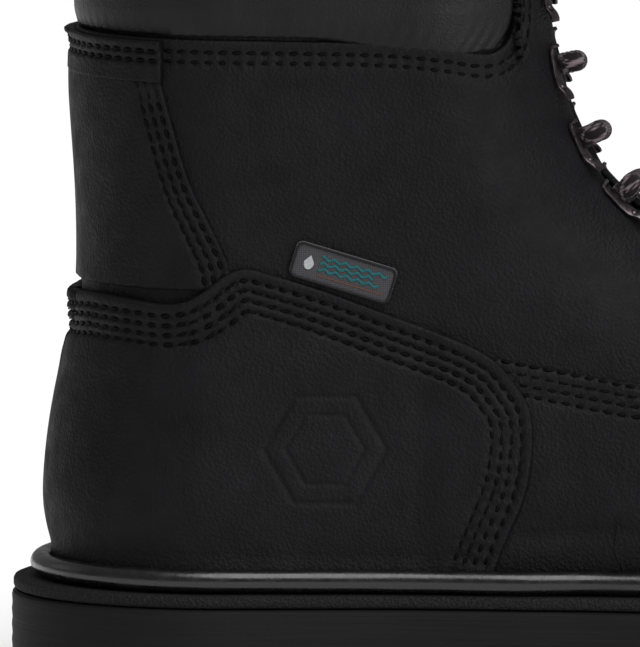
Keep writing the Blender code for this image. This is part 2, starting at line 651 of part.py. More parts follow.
def build_collar():
    cover = [(0.00, -0.0004, -0.0004), (0.30, 0.0010, 0.0004), (0.65, 0.0014, 0.0004), (0.90, 0.0000, -0.0008),
             (1.00, -0.0040, -0.0032), (0.90, -0.0088, -0.0058), (0.60, -0.0098, -0.0070), (0.25, -0.0092, -0.0066),
             (0.02, -0.0072, -0.0062), (0.02, -0.0062, -0.0052), (0.25, -0.0080, -0.0056),
             (0.60, -0.0086, -0.0058), (0.86, -0.0076, -0.0046), (0.955, -0.0040, -0.0034),
             (0.86, -0.0014, -0.0018), (0.65, 0.0002, -0.0008), (0.30, -0.0002, -0.0008), (0.00, -0.0016, -0.0016)]
    foam = [(0.05, -0.0024, -0.0025), (0.30, -0.0010, -0.0016), (0.62, -0.0007, -0.0016), (0.83, -0.0022, -0.0024),
            (0.915, -0.0040, -0.0034), (0.82, -0.0072, -0.0043), (0.60, -0.0081, -0.0053), (0.25, -0.0075, -0.0051),
            (0.05, -0.0056, -0.0047)]
    swept("collar_cover", cover, 0.0002, 27, (0.028, 0.028, 0.031), 0.42)
    swept("collar_foam", foam, 0.0002, 27, (0.45, 0.43, 0.36), 0.95)


def local_frame(x, z, side):
    """Point on the face with its outward, forward and upward directions."""
    point = np.array([x, float(side_y(np.array([x]), np.array([z]), side)[0]), z])
    out = normal_at(point[None])[0]
    slope = np.gradient(RIDGE, axis=0)
    nearest = int(np.argmin(np.hypot(RIDGE[:, 0] - x, RIDGE[:, 1] - z)))
    up = -np.array([slope[nearest][0], 0.0, slope[nearest][1]])
    up -= out * (up @ out)
    up /= np.linalg.norm(up)
    ahead = -np.cross(up, out) * side
    return point, out, ahead, up


def hook(name, x, z, side):
    """Plate on the facing under the lace, foot below it and an arm that curls up over the lace."""
    point, out, ahead, up = local_frame(x, z, side)
    path = [(0.0052, 0.0008), (0.0020, 0.0008), (-0.0022, 0.0008), (-0.0040, 0.0018), (-0.0046, 0.0036),
            (-0.0042, 0.0056), (-0.0026, 0.0068), (0.0000, 0.0072), (0.0024, 0.0070)]
    path = np.array(path)
    tangent = np.gradient(path, axis=0)
    tangent /= np.linalg.norm(tangent, axis=1, keepdims=True)
    across = np.stack([-tangent[:, 1], tangent[:, 0]], axis=1)
    half = 0.00045
    widths = np.interp(np.arange(len(path)), [0, 2, 5, 8], [0.0019, 0.0022, 0.0016, 0.0014])
    verts = []
    for (w, n), (dw, dn), width in zip(path, across, widths):
        for thick, wide in ((half, width), (half, -width), (-half, -width), (-half, width)):
            verts.append(point + up * (w + dw * thick) + out * (n + dn * thick) + ahead * wide)
    faces = []
    for k in range(len(path) - 1):
        for a in range(4):
            b = (a + 1) % 4
            faces.append((k * 4 + a, k * 4 + b, (k + 1) * 4 + b, (k + 1) * 4 + a))
    faces.append((0, 1, 2, 3))
    faces.append(tuple((len(path) - 1) * 4 + a for a in range(4)))
    return node(name, verts, faces, (0.25, 0.25, 0.27), 0.3, 1.0)


def punch(targets, name, x, z, side):
    point, out, ahead, up = local_frame(x, z, side)
    centre = point - ahead * HOLE_SETBACK
    mesh = bpy.data.meshes.new(name)
    verts = []
    for depth in (-0.012, 0.004):
        for a in np.linspace(0, 2 * math.pi, 8, endpoint=False):
            verts.append(centre + out * depth + ahead * HOLE_RADIUS * math.cos(a) + up * HOLE_RADIUS * math.sin(a))
    faces = [(a, (a + 1) % 8, 8 + (a + 1) % 8, 8 + a) for a in range(8)]
    faces += [tuple(range(8)), tuple(range(8, 16))]
    tool = node(name, verts, faces, (0.5, 0.5, 0.5), smooth=False)
    tool.hide_render = True
    tool.display_type = "WIRE"
    for target in targets:
        cut(target, tool)


def inside_point(x, z, side, ahead_by, depth, up_by=0.0):
    point, out, ahead, up = local_frame(x, z, side)
    return point + ahead * ahead_by - out * depth + up * up_by


def lace_centreline():
    """Straight bars across the front; inside the facing the lace climbs on alternate sides."""
    top = LACE_LEVELS[-1]
    route = [inside_point(*top, -1, 0.0005, RISER_DEPTH, 0.0075)]
    route += [inside_point(x, z, -1, 0.0005, RISER_DEPTH) for x, z in LACE_LEVELS[:0:-1]]
    route.append(inside_point(*LACE_LEVELS[0], -1, -0.0010, RISER_DEPTH, 0.0020))
    side = -1
    for x, z in LACE_LEVELS:
        for s in (side, -side):
            point, out, ahead, up = local_frame(x, z, s)
            leg = [point + ahead * a + out * n for a, n in LACE_LEG]
            route += leg if s == side else leg[::-1]
        side = -side
    route.append(inside_point(*top, 1, -HOLE_SETBACK, RISER_DEPTH, 0.0045))
    return np.array(route)


def build_tail(side, label, start, onward):
    """The free end: a lead from the lacing, a flat hank held by a tie, and the aglet."""
    route = [start, start + onward * 0.003]
    for x, z, depth in LEAD_SEATS:
        point, out, _, _ = local_frame(x, z, side)
        route.append(point - out * depth)
    tube(f"lace_lead_{label}", resample(route, 11), LACE_RADIUS, 6, LACE_COLOUR, 0.85)
    u = np.linspace(HANK_BACK, HANK_FRONT, 5)
    v = np.linspace(HANK_LOW, HANK_HIGH, 5)
    grid = np.stack(np.meshgrid(u, v, indexing="ij"), axis=-1)
    params = turn_of(grid.reshape(-1, 2), side).reshape(grid.shape)
    shaft_panel(f"lace_hank_{label}", params, HANK, LACE_COLOUR, 0.85)
    seat, out, _, _ = local_frame(HANK_BACK + 0.0028, HANK_HIGH + 0.0020, side)
    seat = seat - out * 0.0128
    tip = seat + np.array([0.0, -side * 0.0010, 0.0150])
    tube(f"lace_aglet_{label}", [seat, tip], 0.0020, 8, (0.02, 0.02, 0.02), 0.35)
    tie_loop(f"lace_tie_{label}", side)


def tie_loop(name, side):
    """Flat band round the middle of the hank."""
    z_middle = 0.5 * (HANK_LOW + HANK_HIGH)
    corners = []
    for clear in (0.0004, 0.0012):
        for x, depth in ((HANK_BACK - clear, -HANK[1] - clear), (HANK_FRONT + clear, -HANK[1] - clear),
                         (HANK_FRONT + clear, -HANK[0] + clear), (HANK_BACK - clear, -HANK[0] + clear)):
            corners.append((x, depth))
    verts = []
    for z in (z_middle - 0.0035, z_middle + 0.0035):
        for x, depth in corners:
            point, out, _, _ = local_frame(x, z, side)
            verts.append(point - out * depth)
    faces = []
    for k in range(4):
        n = (k + 1) % 4
        faces.append((k, n, 8 + n, 8 + k))
        faces.append((4 + k, 4 + n, 12 + n, 12 + k))
        faces.append((k, n, 4 + n, 4 + k))
        faces.append((8 + k, 8 + n, 12 + n, 12 + k))
    node(name, verts, faces, (0.03, 0.03, 0.03), 0.8, smooth=False)


def build_lacing(punched):
    for side, label in ((-1, "lateral"), (1, "medial")):
        for level, (x, z) in enumerate(LACE_LEVELS):
            hook(f"lace_hook_{label}_{level + 1}", x, z, side)
            punch(punched[side], f"lace_hole_{label}_{level + 1}", x, z, side)
    route = lace_centreline()
    tube("lace_run", route, LACE_RADIUS, 6, LACE_COLOUR, 0.85)
    for side, label, end, before in ((-1, "lateral", route[0], route[1]), (1, "medial", route[-1], route[-2])):
        onward = (end - before) / np.linalg.norm(end - before)
        build_tail(side, label, end + onward * 0.0012, onward)


def build_label():
    """Woven tab on the lateral side, tucked under the counter's top edge."""
    low = resample([(-0.0898, 0.1075), (-0.0672, 0.1012)], 6)
    high = resample([(-0.0876, 0.1186), (-0.0642, 0.1114)], 6)
    left = np.linspace(low[0], high[0], 4)
    right = np.linspace(low[-1], high[-1], 4)
    grid = coons(low, high, left, right)
    params = turn_of(grid.reshape(-1, 2), -1).reshape(grid.shape)
    shaft_panel("side_label", params, (0.0003, 0.0012), (0.05, 0.05, 0.055), 0.7)


def build_upper():
    foot = [(-0.1300, FOOT_Z), (-0.1000, FOOT_Z), (-0.0500, FOOT_Z)]
    quarters = {side: shaft_panel(f"quarter_{label}", quarter_params(side, 26, 12), QUARTER, (0.013, 0.013, 0.014))
                for side, label in ((-1, "lateral"), (1, "medial"))}
    counter = wrap_params([(-0.0428, FOOT_Z)] + COUNTER_FRONT, [(-0.1414, COUNTER_TOP_BACK_Z)] + COUNTER_TOP,
                          foot + [(-0.0428, FOOT_Z)], 35, 8)
    shaft_panel("counter_pocket", counter, COUNTER, (0.012, 0.012, 0.013))
    shaft_panel("backstay", backstay_params(15, 6), BACKSTAY, (0.013, 0.013, 0.014))
    shaft_panel("back_band", band_params(0.1572, 0.1642, -0.1190, 13, 3), (0.0003, 0.0015), (0.02, 0.02, 0.021))
    shaft_panel("heel_stiffener", band_params(0.0376, 0.0880, -0.0750, 23, 6), MIDDLE, (0.30, 0.22, 0.14))
    edge = [(-0.0050, FOOT_Z), (-0.0050, 0.0640), (0.0100, 0.0800), (0.0290, 0.0960)] + FACING_EDGE[1:]
    lining = wrap_params(edge, [(-0.1300, COLLAR_BACK_Z)] + COLLAR_SEAM + [FACING_EDGE[-1]],
                         foot + [(-0.0050, FOOT_Z)], 33, 9)
    ankle = shaft_panel("ankle_lining", lining, LINING, (0.06, 0.06, 0.06), 0.9)
    build_collar()
    build_label()
    build_vamp()
    build_toe()
    build_tongue()
    build_lacing({side: (quarters[side], ankle) for side in (-1, 1)})


for obj in list(bpy.data.objects):
    bpy.data.objects.remove(obj, do_unlink=True)
build_sole()
build_inside()
build_upper()
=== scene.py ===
"""Right work boot: leather panels, real stitching, braided lace, padded collar and tongue, lugged sole."""
import json
import math

import bmesh
import bpy
import numpy as np
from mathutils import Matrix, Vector
from mathutils.kdtree import KDTree

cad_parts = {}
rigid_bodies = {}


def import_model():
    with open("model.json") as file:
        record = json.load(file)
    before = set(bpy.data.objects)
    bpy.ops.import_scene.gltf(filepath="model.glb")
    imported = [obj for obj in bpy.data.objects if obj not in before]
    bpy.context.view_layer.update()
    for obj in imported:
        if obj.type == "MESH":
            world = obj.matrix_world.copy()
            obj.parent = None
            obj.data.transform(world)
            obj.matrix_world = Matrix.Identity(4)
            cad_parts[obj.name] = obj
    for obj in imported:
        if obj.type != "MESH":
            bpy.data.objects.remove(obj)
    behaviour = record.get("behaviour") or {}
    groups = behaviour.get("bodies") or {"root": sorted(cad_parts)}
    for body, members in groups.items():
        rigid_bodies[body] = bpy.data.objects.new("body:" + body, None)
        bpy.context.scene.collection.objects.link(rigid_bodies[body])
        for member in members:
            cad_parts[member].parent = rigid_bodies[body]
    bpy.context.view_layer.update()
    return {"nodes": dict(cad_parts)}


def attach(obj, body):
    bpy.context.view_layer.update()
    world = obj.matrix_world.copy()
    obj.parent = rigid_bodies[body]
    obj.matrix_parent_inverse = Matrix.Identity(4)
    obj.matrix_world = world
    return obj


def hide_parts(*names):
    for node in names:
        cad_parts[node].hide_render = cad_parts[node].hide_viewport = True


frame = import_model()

# ---- camera, light and floor ------------------------------------------------------------------------
VIEW_CENTRE = Vector((-0.0826, -0.036, 0.0985))
VIEW_WIDTH = 0.1487
CAMERA_DISTANCE = 5.0
CAMERA_ELEVATION = math.radians(6.3)
SENSOR = 36.0
WORLD_LIGHT = 0.24         # strength of the white surroundings, away from the camera's own rays
SUN_POWER = 3.1
SUN_ANGLE = math.radians(55.0)
SUN_DIRECTION = Vector((-0.22, 0.50, -1.0))
# area lights: place, aim, side, power
KEY_LIGHT = (Vector((0.70, -1.10, 0.16)), Vector((-0.05, 0.0, 0.05)), 0.5, 8.5)
RIM_LIGHT = (Vector((-0.90, 0.35, 0.40)), Vector((-0.10, 0.0, 0.10)), 0.4, 0.15)
FLOOR_SIZE = 8.0
FLOOR_DROP = 0.0005        # clear of the sole's lowest faces


def place_object(name, data, location, direction):
    """Puts a camera or light in the scene, looking along a direction."""
    obj = bpy.data.objects.new(name, data)
    obj.location = location
    obj.rotation_euler = direction.to_track_quat("-Z", "Y").to_euler()
    bpy.context.scene.collection.objects.link(obj)
    return obj


def add_camera():
    data = bpy.data.cameras.new("camera")
    data.sensor_width = SENSOR
    data.sensor_fit = "HORIZONTAL"
    data.lens = SENSOR * CAMERA_DISTANCE / VIEW_WIDTH
    data.clip_end = 60 * CAMERA_DISTANCE
    away = Vector((0.0, -math.cos(CAMERA_ELEVATION), math.sin(CAMERA_ELEVATION)))
    bpy.context.scene.camera = place_object("camera", data, VIEW_CENTRE + away * CAMERA_DISTANCE, -away)


def add_area(name, place, aim, side, power):
    data = bpy.data.lights.new(name, "AREA")
    data.shape = "SQUARE"
    data.size = side
    data.energy = power
    place_object(name, data, place, aim - place)


def add_world():
    """White where the camera sees it, and dimmer as a light."""
    world = bpy.data.worlds.new("studio")
    world.use_nodes = True
    bpy.context.scene.world = world
    nodes = world.node_tree.nodes
    links = world.node_tree.links
    rays = nodes.new("ShaderNodeLightPath")
    level = nodes.new("ShaderNodeMapRange")
    level.inputs["To Min"].default_value = WORLD_LIGHT
    links.new(rays.outputs["Is Camera Ray"], level.inputs["Value"])
    links.new(level.outputs["Result"], nodes["Background"].inputs["Strength"])
    nodes["Background"].inputs["Color"].default_value = (1.0, 1.0, 1.0, 1.0)


def add_studio():
    add_world()
    sun = bpy.data.lights.new("overhead", "SUN")
    sun.energy = SUN_POWER
    sun.angle = SUN_ANGLE
    place_object("overhead", sun, Vector(), SUN_DIRECTION)
    add_area("key", *KEY_LIGHT)
    add_area("rim", *RIM_LIGHT)
    bpy.ops.mesh.primitive_plane_add(size=FLOOR_SIZE, location=(0.0, 0.0, -FLOOR_DROP))
    floor = bpy.context.object
    floor.name = "floor"
    floor.data.materials.append(Look("floor_paper", (0.95, 0.95, 0.95), 0.9).material)
    bpy.context.scene.view_settings.view_transform = "Standard"


# ---- driving dimensions -----------------------------------------------------------------------------
AXIS_X = -0.085            # upright axis the shaft is turned about
SHAFT_TOP = 0.200          # top of the collar
GAP = 0.0003               # clearance between touching pieces
ROUND_REAR = 0.036         # rounding depth of the heel and shaft
ROUND_FRONT = 0.043        # rounding depth of the forefoot
HEEL_X = -0.1413           # back end of the upper's foot
TIP_X = 0.147              # toe end of the upper
FOOT_Z = 0.0374            # lower edge of the shaft's panels
THROAT_X = 0.043           # closed end of the lace opening
BEAD_RADIUS = 0.00265
PLATE_THICKNESS = 0.0034   # stippled sole plate under the bead
LACE_RADIUS = 0.0024
RISER_DEPTH = 0.0102       # lace inside the facing, below its outer face
SHAFT_RADIUS = 0.055       # typical distance from the axis, to weigh turns against heights
RAY_LENGTH = 0.26          # longer than any ray from inside the boot to its face
RAY_HALVINGS = 26

# side view of the quarter's outer face, (x, z)
BACK_LINE = [(-0.1403, 0.030), (-0.1405, 0.036), (-0.1434, 0.0464), (-0.1446, 0.053), (-0.1440, 0.0647),
             (-0.1422, 0.0763), (-0.1398, 0.0872), (-0.1384, 0.1028), (-0.1383, 0.113), (-0.1388, 0.129),
             (-0.1397, 0.143), (-0.1402, 0.152), (-0.1396, 0.166), (-0.1388, 0.180), (-0.1378, 0.205),
             (-0.1370, 0.230)]
RIDGE_LINE = [(-0.0255, 0.230), (-0.0260, 0.205), (-0.0246, 0.1704), (-0.0230, 0.1600), (-0.0203, 0.1485),
              (-0.0160, 0.1385), (-0.0090, 0.1290), (0.0040, 0.1200), (0.0200, 0.1120), (0.0360, 0.1052),
              (0.0520, 0.0990), (0.0700, 0.0940), (0.0880, 0.0900), (0.1040, 0.0858), (0.1200, 0.0785),
              (0.1330, 0.0680), (0.1415, 0.0560), (0.1460, 0.0440), (TIP_X, 0.0340), (TIP_X, 0.020)]
# values along x, or along z for the shaft
SOLE_TOP = [(-0.160, 0.036), (-0.010, 0.036), (0.020, 0.0325), (0.060, 0.028), (0.100, 0.0285),
            (0.130, 0.0325), (0.160, 0.036)]
GROUND = [(-0.160, 0.0), (0.080, 0.0), (0.110, 0.0025), (0.135, 0.0075), (0.160, 0.0130)]
BASE_HALF_WIDTH = [(-0.150, 0.0322), (-0.110, 0.0330), (-0.070, 0.0325), (-0.030, 0.0345), (0.010, 0.0405),
                   (0.050, 0.0470), (0.080, 0.0485), (0.110, 0.0470), (0.150, 0.0440)]
SHAFT_HALF_WIDTH = [(0.030, 0.0335), (0.055, 0.0345), (0.085, 0.0342), (0.110, 0.0345), (0.150, 0.0365),
                    (0.200, 0.0395), (0.230, 0.0400)]
MIDLINE = [(-0.160, 0.0), (-0.070, -0.0010), (-0.030, -0.0030), (0.020, -0.0030), (0.070, -0.0008),
           (0.110, 0.0027), (0.150, 0.0055)]
SOLE_MARGIN = [(-0.160, 0.0161), (-0.115, 0.0108), (-0.030, 0.0095), (0.060, 0.0090), (0.160, 0.0080)]
BEAD_MARGIN = [(-0.160, 0.0065), (-0.038, 0.0065), (-0.015, 0.0050), (0.160, 0.0048)]

# seam lines, (x, z) in the side view, running from the back to the front
COLLAR_BACK_Z = 0.1649
COLLAR_SEAM = [(-0.0990, 0.1645), (-0.0685, 0.1639), (-0.0543, 0.1627), (-0.0457, 0.1613), (-0.0415, 0.1615),
               (-0.0385, 0.1640), (-0.0371, 0.1690), (-0.0368, 0.1800), (-0.0362, 0.1960)]
FACING_EDGE = [(0.0385, 0.0960), (0.0310, 0.1000), (0.0200, 0.1055), (0.0040, 0.1140), (-0.0130, 0.1270),
               (-0.0187, 0.1352), (-0.0235, 0.1455), (-0.0262, 0.1560), (-0.0283, 0.1670), (-0.0290, 0.1960)]
UNDERLAP = [(-0.0140, 0.0480), (-0.0050, 0.0620), (0.0140, 0.0770), (0.0385, 0.0960)]
COUNTER_TOP_BACK_Z = 0.1023
COUNTER_CORNER = (-0.0374, 0.0846)
COUNTER_TOP = [(-0.1339, 0.1038), (-0.1248, 0.1032), (-0.1182, 0.1026), (-0.1135, 0.1034), (-0.1098, 0.1055),
               (-0.1059, 0.1088), (-0.1030, 0.1106), (-0.0998, 0.1112), (-0.0955, 0.1103), (-0.0813, 0.1059),
               (-0.0652, 0.0999), (-0.0545, 0.0960), (-0.0471, 0.0929), (-0.0413, 0.0892), COUNTER_CORNER]
COUNTER_FRONT = [(-0.0428, FOOT_Z), (-0.0421, 0.0400), (-0.0390, 0.0479), (-0.0345, 0.0590),
                 (-0.0329, 0.0700), (-0.0337, 0.0785), COUNTER_CORNER]
VAMP_BACK_X = -0.0560
VAMP_EDGE = [(VAMP_BACK_X, 0.0925), (-0.0478, 0.0935), (-0.0302, 0.0905), (-0.0084, 0.0863), (0.0050, 0.0850),
             (0.0180, 0.0866), (0.0270, 0.0900), (0.0340, 0.0950), (0.0375, 0.0985)]
BACKSTAY_EDGE = [(-0.1028, 0.1060), (-0.1043, 0.1134), (-0.1086, 0.1225), (-0.1118, 0.1290),
                 (-0.1142, 0.1355), (-0.1163, 0.1430), (-0.1186, 0.1515), (-0.1198, 0.1566)]
LACE_LEVELS = [(0.0240, 0.1010), (0.0114, 0.1075), (-0.0014, 0.1147), (-0.0141, 0.1251), (-0.0232, 0.1390),
               (-0.0287, 0.1568), (-0.0310, 0.1757)]
COLLAR_LOW = [(-0.1450, 0.1654), (-0.0990, 0.1650), (-0.0685, 0.1644), (-0.0543, 0.1633), (-0.0457, 0.1624),
              (-0.0400, 0.1640)]
COLLAR_FRONT = [(0.1590, -0.0440), (0.1640, -0.0404), (0.1690, -0.0384), (0.2100, -0.0374)]   # (z, x)


# ---- curves -----------------------------------------------------------------------------------------
def curve(points, at):
    """Monotone cubic through the points, evaluated at the values."""
    xs, ys = np.array(points, float).T
    step = np.diff(xs)
    slope = np.diff(ys) / step
    tangent = np.zeros_like(ys)
    tangent[0] = slope[0]
    tangent[-1] = slope[-1]
    for k in range(1, len(xs) - 1):
        if slope[k - 1] * slope[k] > 0.0:
            tangent[k] = 2.0 * slope[k - 1] * slope[k] / (slope[k - 1] + slope[k])
    at = np.clip(np.asarray(at, float), xs[0], xs[-1])
    index = np.clip(np.searchsorted(xs, at) - 1, 0, len(step) - 1)
    h = step[index]
    t = (at - xs[index]) / h
    return ((1 + 2 * t) * (1 - t) ** 2 * ys[index] + t * (1 - t) ** 2 * h * tangent[index]
            + t * t * (3 - 2 * t) * ys[index + 1] + t * t * (t - 1) * h * tangent[index + 1])


def smoothstep(low, high, value):
    t = np.clip((np.asarray(value, float) - low) / (high - low), 0.0, 1.0)
    return t * t * (3 - 2 * t)


def bump(value, middle, width):
    """A smooth hump of height 1."""
    return np.exp(-((value - middle) / width) ** 2)


def unit(vectors):
    return vectors / (np.linalg.norm(vectors, axis=-1, keepdims=True) + 1e-12)


def refined_along(grid, where, axis=0):
    """Catmull-Rom values of a grid at shares of one of its axes."""
    grid = np.moveaxis(grid, axis, 0)
    ends = np.concatenate([[2 * grid[0] - grid[1]], grid, [2 * grid[-1] - grid[-2]]])
    place = np.asarray(where) * (len(grid) - 1)
    index = np.clip(place.astype(int), 0, len(grid) - 2)
    t = (place - index).reshape((-1,) + (1,) * (grid.ndim - 1))
    a, b, c, d = (ends[index + k] for k in range(4))
    values = 2 * b + (c - a) * t + (2 * a - 5 * b + 4 * c - d) * t * t + (3 * b - a - 3 * c + d) * t ** 3
    return np.moveaxis(0.5 * values, 0, axis)


def refined(grid, us, vs):
    return refined_along(refined_along(grid, us, 0), vs, 1)


def run_length(points):
    """Distance along a polyline at each of its points."""
    return np.concatenate([[0], np.cumsum(np.linalg.norm(np.diff(points, axis=0), axis=1))])


def at_distance(points, run, where):
    """Places on a polyline at distances along it."""
    return np.stack([np.interp(where, run, column) for column in np.asarray(points).T], axis=1)


def even_points(points, count, closed=False):
    """The polyline's points spaced evenly."""
    if closed:
        points = np.vstack([points, points[:1]])
    run = run_length(points)
    return at_distance(points, run, np.linspace(0, run[-1], count, endpoint=not closed))


def resample(points, count):
    """Evenly spaced points on a smooth curve through the points."""
    shares = np.linspace(0, 1, 12 * len(points) - 11)
    return even_points(refined_along(np.array(points, float), shares), count)


def eased(line, rounds):
    """The line with its small kinks averaged away, its ends kept."""
    line = line.copy()
    for _ in range(rounds):
        line[1:-1] = 0.25 * line[:-2] + 0.5 * line[1:-1] + 0.25 * line[2:]
    return line


SILHOUETTE = eased(resample(BACK_LINE, 130), 8)
RIDGE = eased(resample(RIDGE_LINE, 200), 8)


# ---- the upper's outer face -------------------------------------------------------------------------
def polyline_distance(points, line):
    """Signed distance to an open polyline, positive on its right-hand side."""
    best = np.full(len(points), np.inf)
    sign = np.ones(len(points))
    for start, step in zip(line[:-1], np.diff(line, axis=0)):
        rel = points - start
        share = np.clip((rel @ step) / (step @ step), 0, 1)
        distance = np.linalg.norm(rel - share[:, None] * step, axis=1)
        side = step[1] * rel[:, 0] - step[0] * rel[:, 1]
        closer = distance < best - 1e-12
        best = np.where(closer, distance, best)
        sign = np.where(closer, np.where(side < 0, -1.0, 1.0), sign)
    return best * sign


def depth_in(x, z):
    """How deep a side-view point lies inside the upper, as a share of the local rounding depth."""
    flat = np.stack([np.ravel(x), np.ravel(z)], axis=1)
    back = polyline_distance(flat, SILHOUETTE)
    front = -polyline_distance(flat, RIDGE[::-1])
    front_depth = ROUND_REAR + (ROUND_FRONT - ROUND_REAR) * smoothstep(-0.03, 0.03, flat[:, 0])
    return np.minimum(back / ROUND_REAR, front / front_depth).reshape(np.shape(x))


def middle_y(x, z):
    return curve(MIDLINE, x) * (1 - smoothstep(0.05, 0.12, z))


def half_width(x, z):
    base = curve(BASE_HALF_WIDTH, x) + 0.0015 * bump(np.asarray(z), 0.055, 0.02)
    return base + (curve(SHAFT_HALF_WIDTH, z) - base) * smoothstep(0.045, 0.125, z)


def field(p):
    """Negative inside the quarter's outer face, zero on it."""
    x, y, z = p[..., 0], p[..., 1], p[..., 2]
    t = np.minimum(depth_in(x, z), 1.0)
    return ((y - middle_y(x, z)) / half_width(x, z)) ** 2 + (1 - t) ** 2 - 1


def field_slope(p, reach=2e-4):
    sides = [field(p + reach * axis) - field(p - reach * axis) for axis in np.eye(3)]
    return np.stack(sides, axis=-1) / (2 * reach)


def normal_at(p):
    return unit(field_slope(p))


def onto_face(points):
    for _ in range(4):
        slope = field_slope(points)
        points = points - (field(points) / (slope ** 2).sum(axis=-1))[:, None] * slope
    return points


def cast(origin, direction):
    """First crossing of the upper's face along rays that start inside it."""
    low = np.zeros(origin.shape[:-1])
    high = np.full(origin.shape[:-1], RAY_LENGTH)
    for _ in range(RAY_HALVINGS):
        mid = 0.5 * (low + high)
        inside = field(origin + mid[..., None] * direction) < 0
        low = np.where(inside, mid, low)
        high = np.where(inside, high, mid)
    return origin + low[..., None] * direction


def side_y(x, z, side):
    """Side +1 medial, -1 lateral."""
    t = np.clip(depth_in(x, z), 0.0, 1.0)
    return middle_y(x, z) + side * half_width(x, z) * np.sqrt(1 - (1 - t) ** 2)


def turn_of(line, side):
    """Side-view points as (turn from the back, z) on one side."""
    x, z = np.asarray(line, float).T
    return np.stack([side * np.arctan2(np.abs(side_y(x, z, side)), AXIS_X - x), z], axis=1)


def face_line(points, side, count, start=None):
    """A side-view seam carried onto one side of the face, evenly spaced along the face."""
    line = turn_of(resample(points, 80), side)
    if start is not None:
        line = np.vstack([[start], line])
    run = run_length(line * (SHAFT_RADIUS, 1.0))
    return at_distance(line, run, np.linspace(0, run[-1], count))


def shaft_points(turn, z):
    """Points of the face at a turn from the back (+ medial) and a height."""
    direction = np.stack([-np.cos(turn), np.sin(turn), np.zeros_like(turn)], axis=-1)
    origin = np.stack([np.full_like(turn, AXIS_X), np.zeros_like(turn), z], axis=-1)
    return cast(origin, direction)


def arch_points(x, angle, z0):
    """Points of the face in an upright cross-section: angle 0 is the ridge, + medial."""
    direction = np.stack([np.zeros_like(x), np.sin(angle), np.cos(angle)], axis=-1)
    return cast(np.stack([x, middle_y(x, z0), z0], axis=-1), direction)


def sole_top(x):
    return curve(SOLE_TOP, x)


def coons(bottom, top, left, right):
    """Grid between four boundary curves that share their corners."""
    u = np.linspace(0, 1, len(bottom))[:, None, None]
    v = np.linspace(0, 1, len(left))[None, :, None]
    ruled_v = (1 - v) * bottom[:, None] + v * top[:, None]
    ruled_u = (1 - u) * left[None] + u * right[None]
    corners = ((1 - u) * (1 - v) * bottom[0] + u * (1 - v) * bottom[-1]
               + (1 - u) * v * top[0] + u * v * top[-1])
    return ruled_v + ruled_u - corners


def outward(loop):
    """Unit directions out of a closed plan curve."""
    ahead = np.roll(loop, -1, axis=0) - np.roll(loop, 1, axis=0)
    return unit(np.stack([ahead[:, 1], -ahead[:, 0]], axis=1))


def plan_outline(margin, half_count, extra=0.0):
    """Closed plan curve round the upper's foot, pushed out by a margin along x."""
    x = 0.5 * (HEEL_X + TIP_X) - 0.5 * (TIP_X - HEEL_X) * np.cos(np.linspace(0, math.pi, half_count + 1))
    z = sole_top(x) + 0.002
    t = np.minimum(np.clip((x - HEEL_X) / ROUND_REAR, 0, 1), np.clip((TIP_X - x) / ROUND_FRONT, 0, 1))
    y = middle_y(x, z) - half_width(x, z) * np.sqrt(1 - (1 - t) ** 2)
    lateral = np.stack([x, y], axis=1)
    medial = np.stack([x, 2 * middle_y(x, z) - y], axis=1)[-2:0:-1]
    loop = np.vstack([lateral, medial])
    return loop + outward(loop) * (curve(margin, loop[:, 0]) + extra)[:, None]


# ---- fine meshes ------------------------------------------------------------------------------------
def piece(name, verts, faces, material, slot=None, nodes=(), body="boot", smooth=True):
    """A closed solid with its faces turned out, riding on its body in place of its CAD nodes."""
    mesh = bpy.data.meshes.new(name)
    mesh.from_pydata(np.asarray(verts).tolist(), [], faces)
    mesh.validate()
    bm = bmesh.new()
    bm.from_mesh(mesh)
    bmesh.ops.recalc_face_normals(bm, faces=bm.faces)
    bm.to_mesh(mesh)
    bm.free()
    mesh.polygons.foreach_set("use_smooth", [smooth] * len(mesh.polygons))
    mesh.materials.append(material)
    obj = bpy.data.objects.new(name, mesh)
    bpy.context.scene.collection.objects.link(obj)
    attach(obj, body)
    if nodes:
        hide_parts(*nodes)
    return obj


def around(sides):
    return np.linspace(0, 2 * math.pi, sides, endpoint=False)


def ring_faces(count, sides, closed=False, base=0):
    """Faces of a tube of rings, with a flat face on each end unless it closes on itself."""
    i, a = np.meshgrid(np.arange(count if closed else count - 1), np.arange(sides), indexing="ij")
    i, a = i.ravel(), a.ravel()
    b = (a + 1) % sides
    n = (i + 1) % count
    faces = (base + np.stack([i * sides + a, i * sides + b, n * sides + b, n * sides + a], axis=1)).tolist()
    if not closed:
        faces += [list(range(start, start + sides)) for start in (base, base + (count - 1) * sides)]
    return faces


def grid_faces(nu, nv):
    i, j = np.meshgrid(np.arange(nu - 1), np.arange(nv - 1), indexing="ij")
    i, j = i.ravel(), j.ravel()
    return np.stack([i * nv + j, (i + 1) * nv + j, (i + 1) * nv + j + 1, i * nv + j + 1], axis=1)


def stations(count):
    """Shares from 0 to 1 with extra ones close to both ends."""
    near_end = np.array([0.0008, 0.0018, 0.0032, 0.0050])
    return np.unique(np.round(np.concatenate([np.linspace(0, 1, count), near_end, 1 - near_end]), 6))


def grid_normals(grid):
    normal = unit(np.cross(np.gradient(grid, axis=0), np.gradient(grid, axis=1)))
    middle = tuple(n // 2 for n in grid.shape[:2])
    outwards = np.dot(normal[middle], normal_at(grid[middle][None])[0])
    return normal if outwards > 0 else -normal


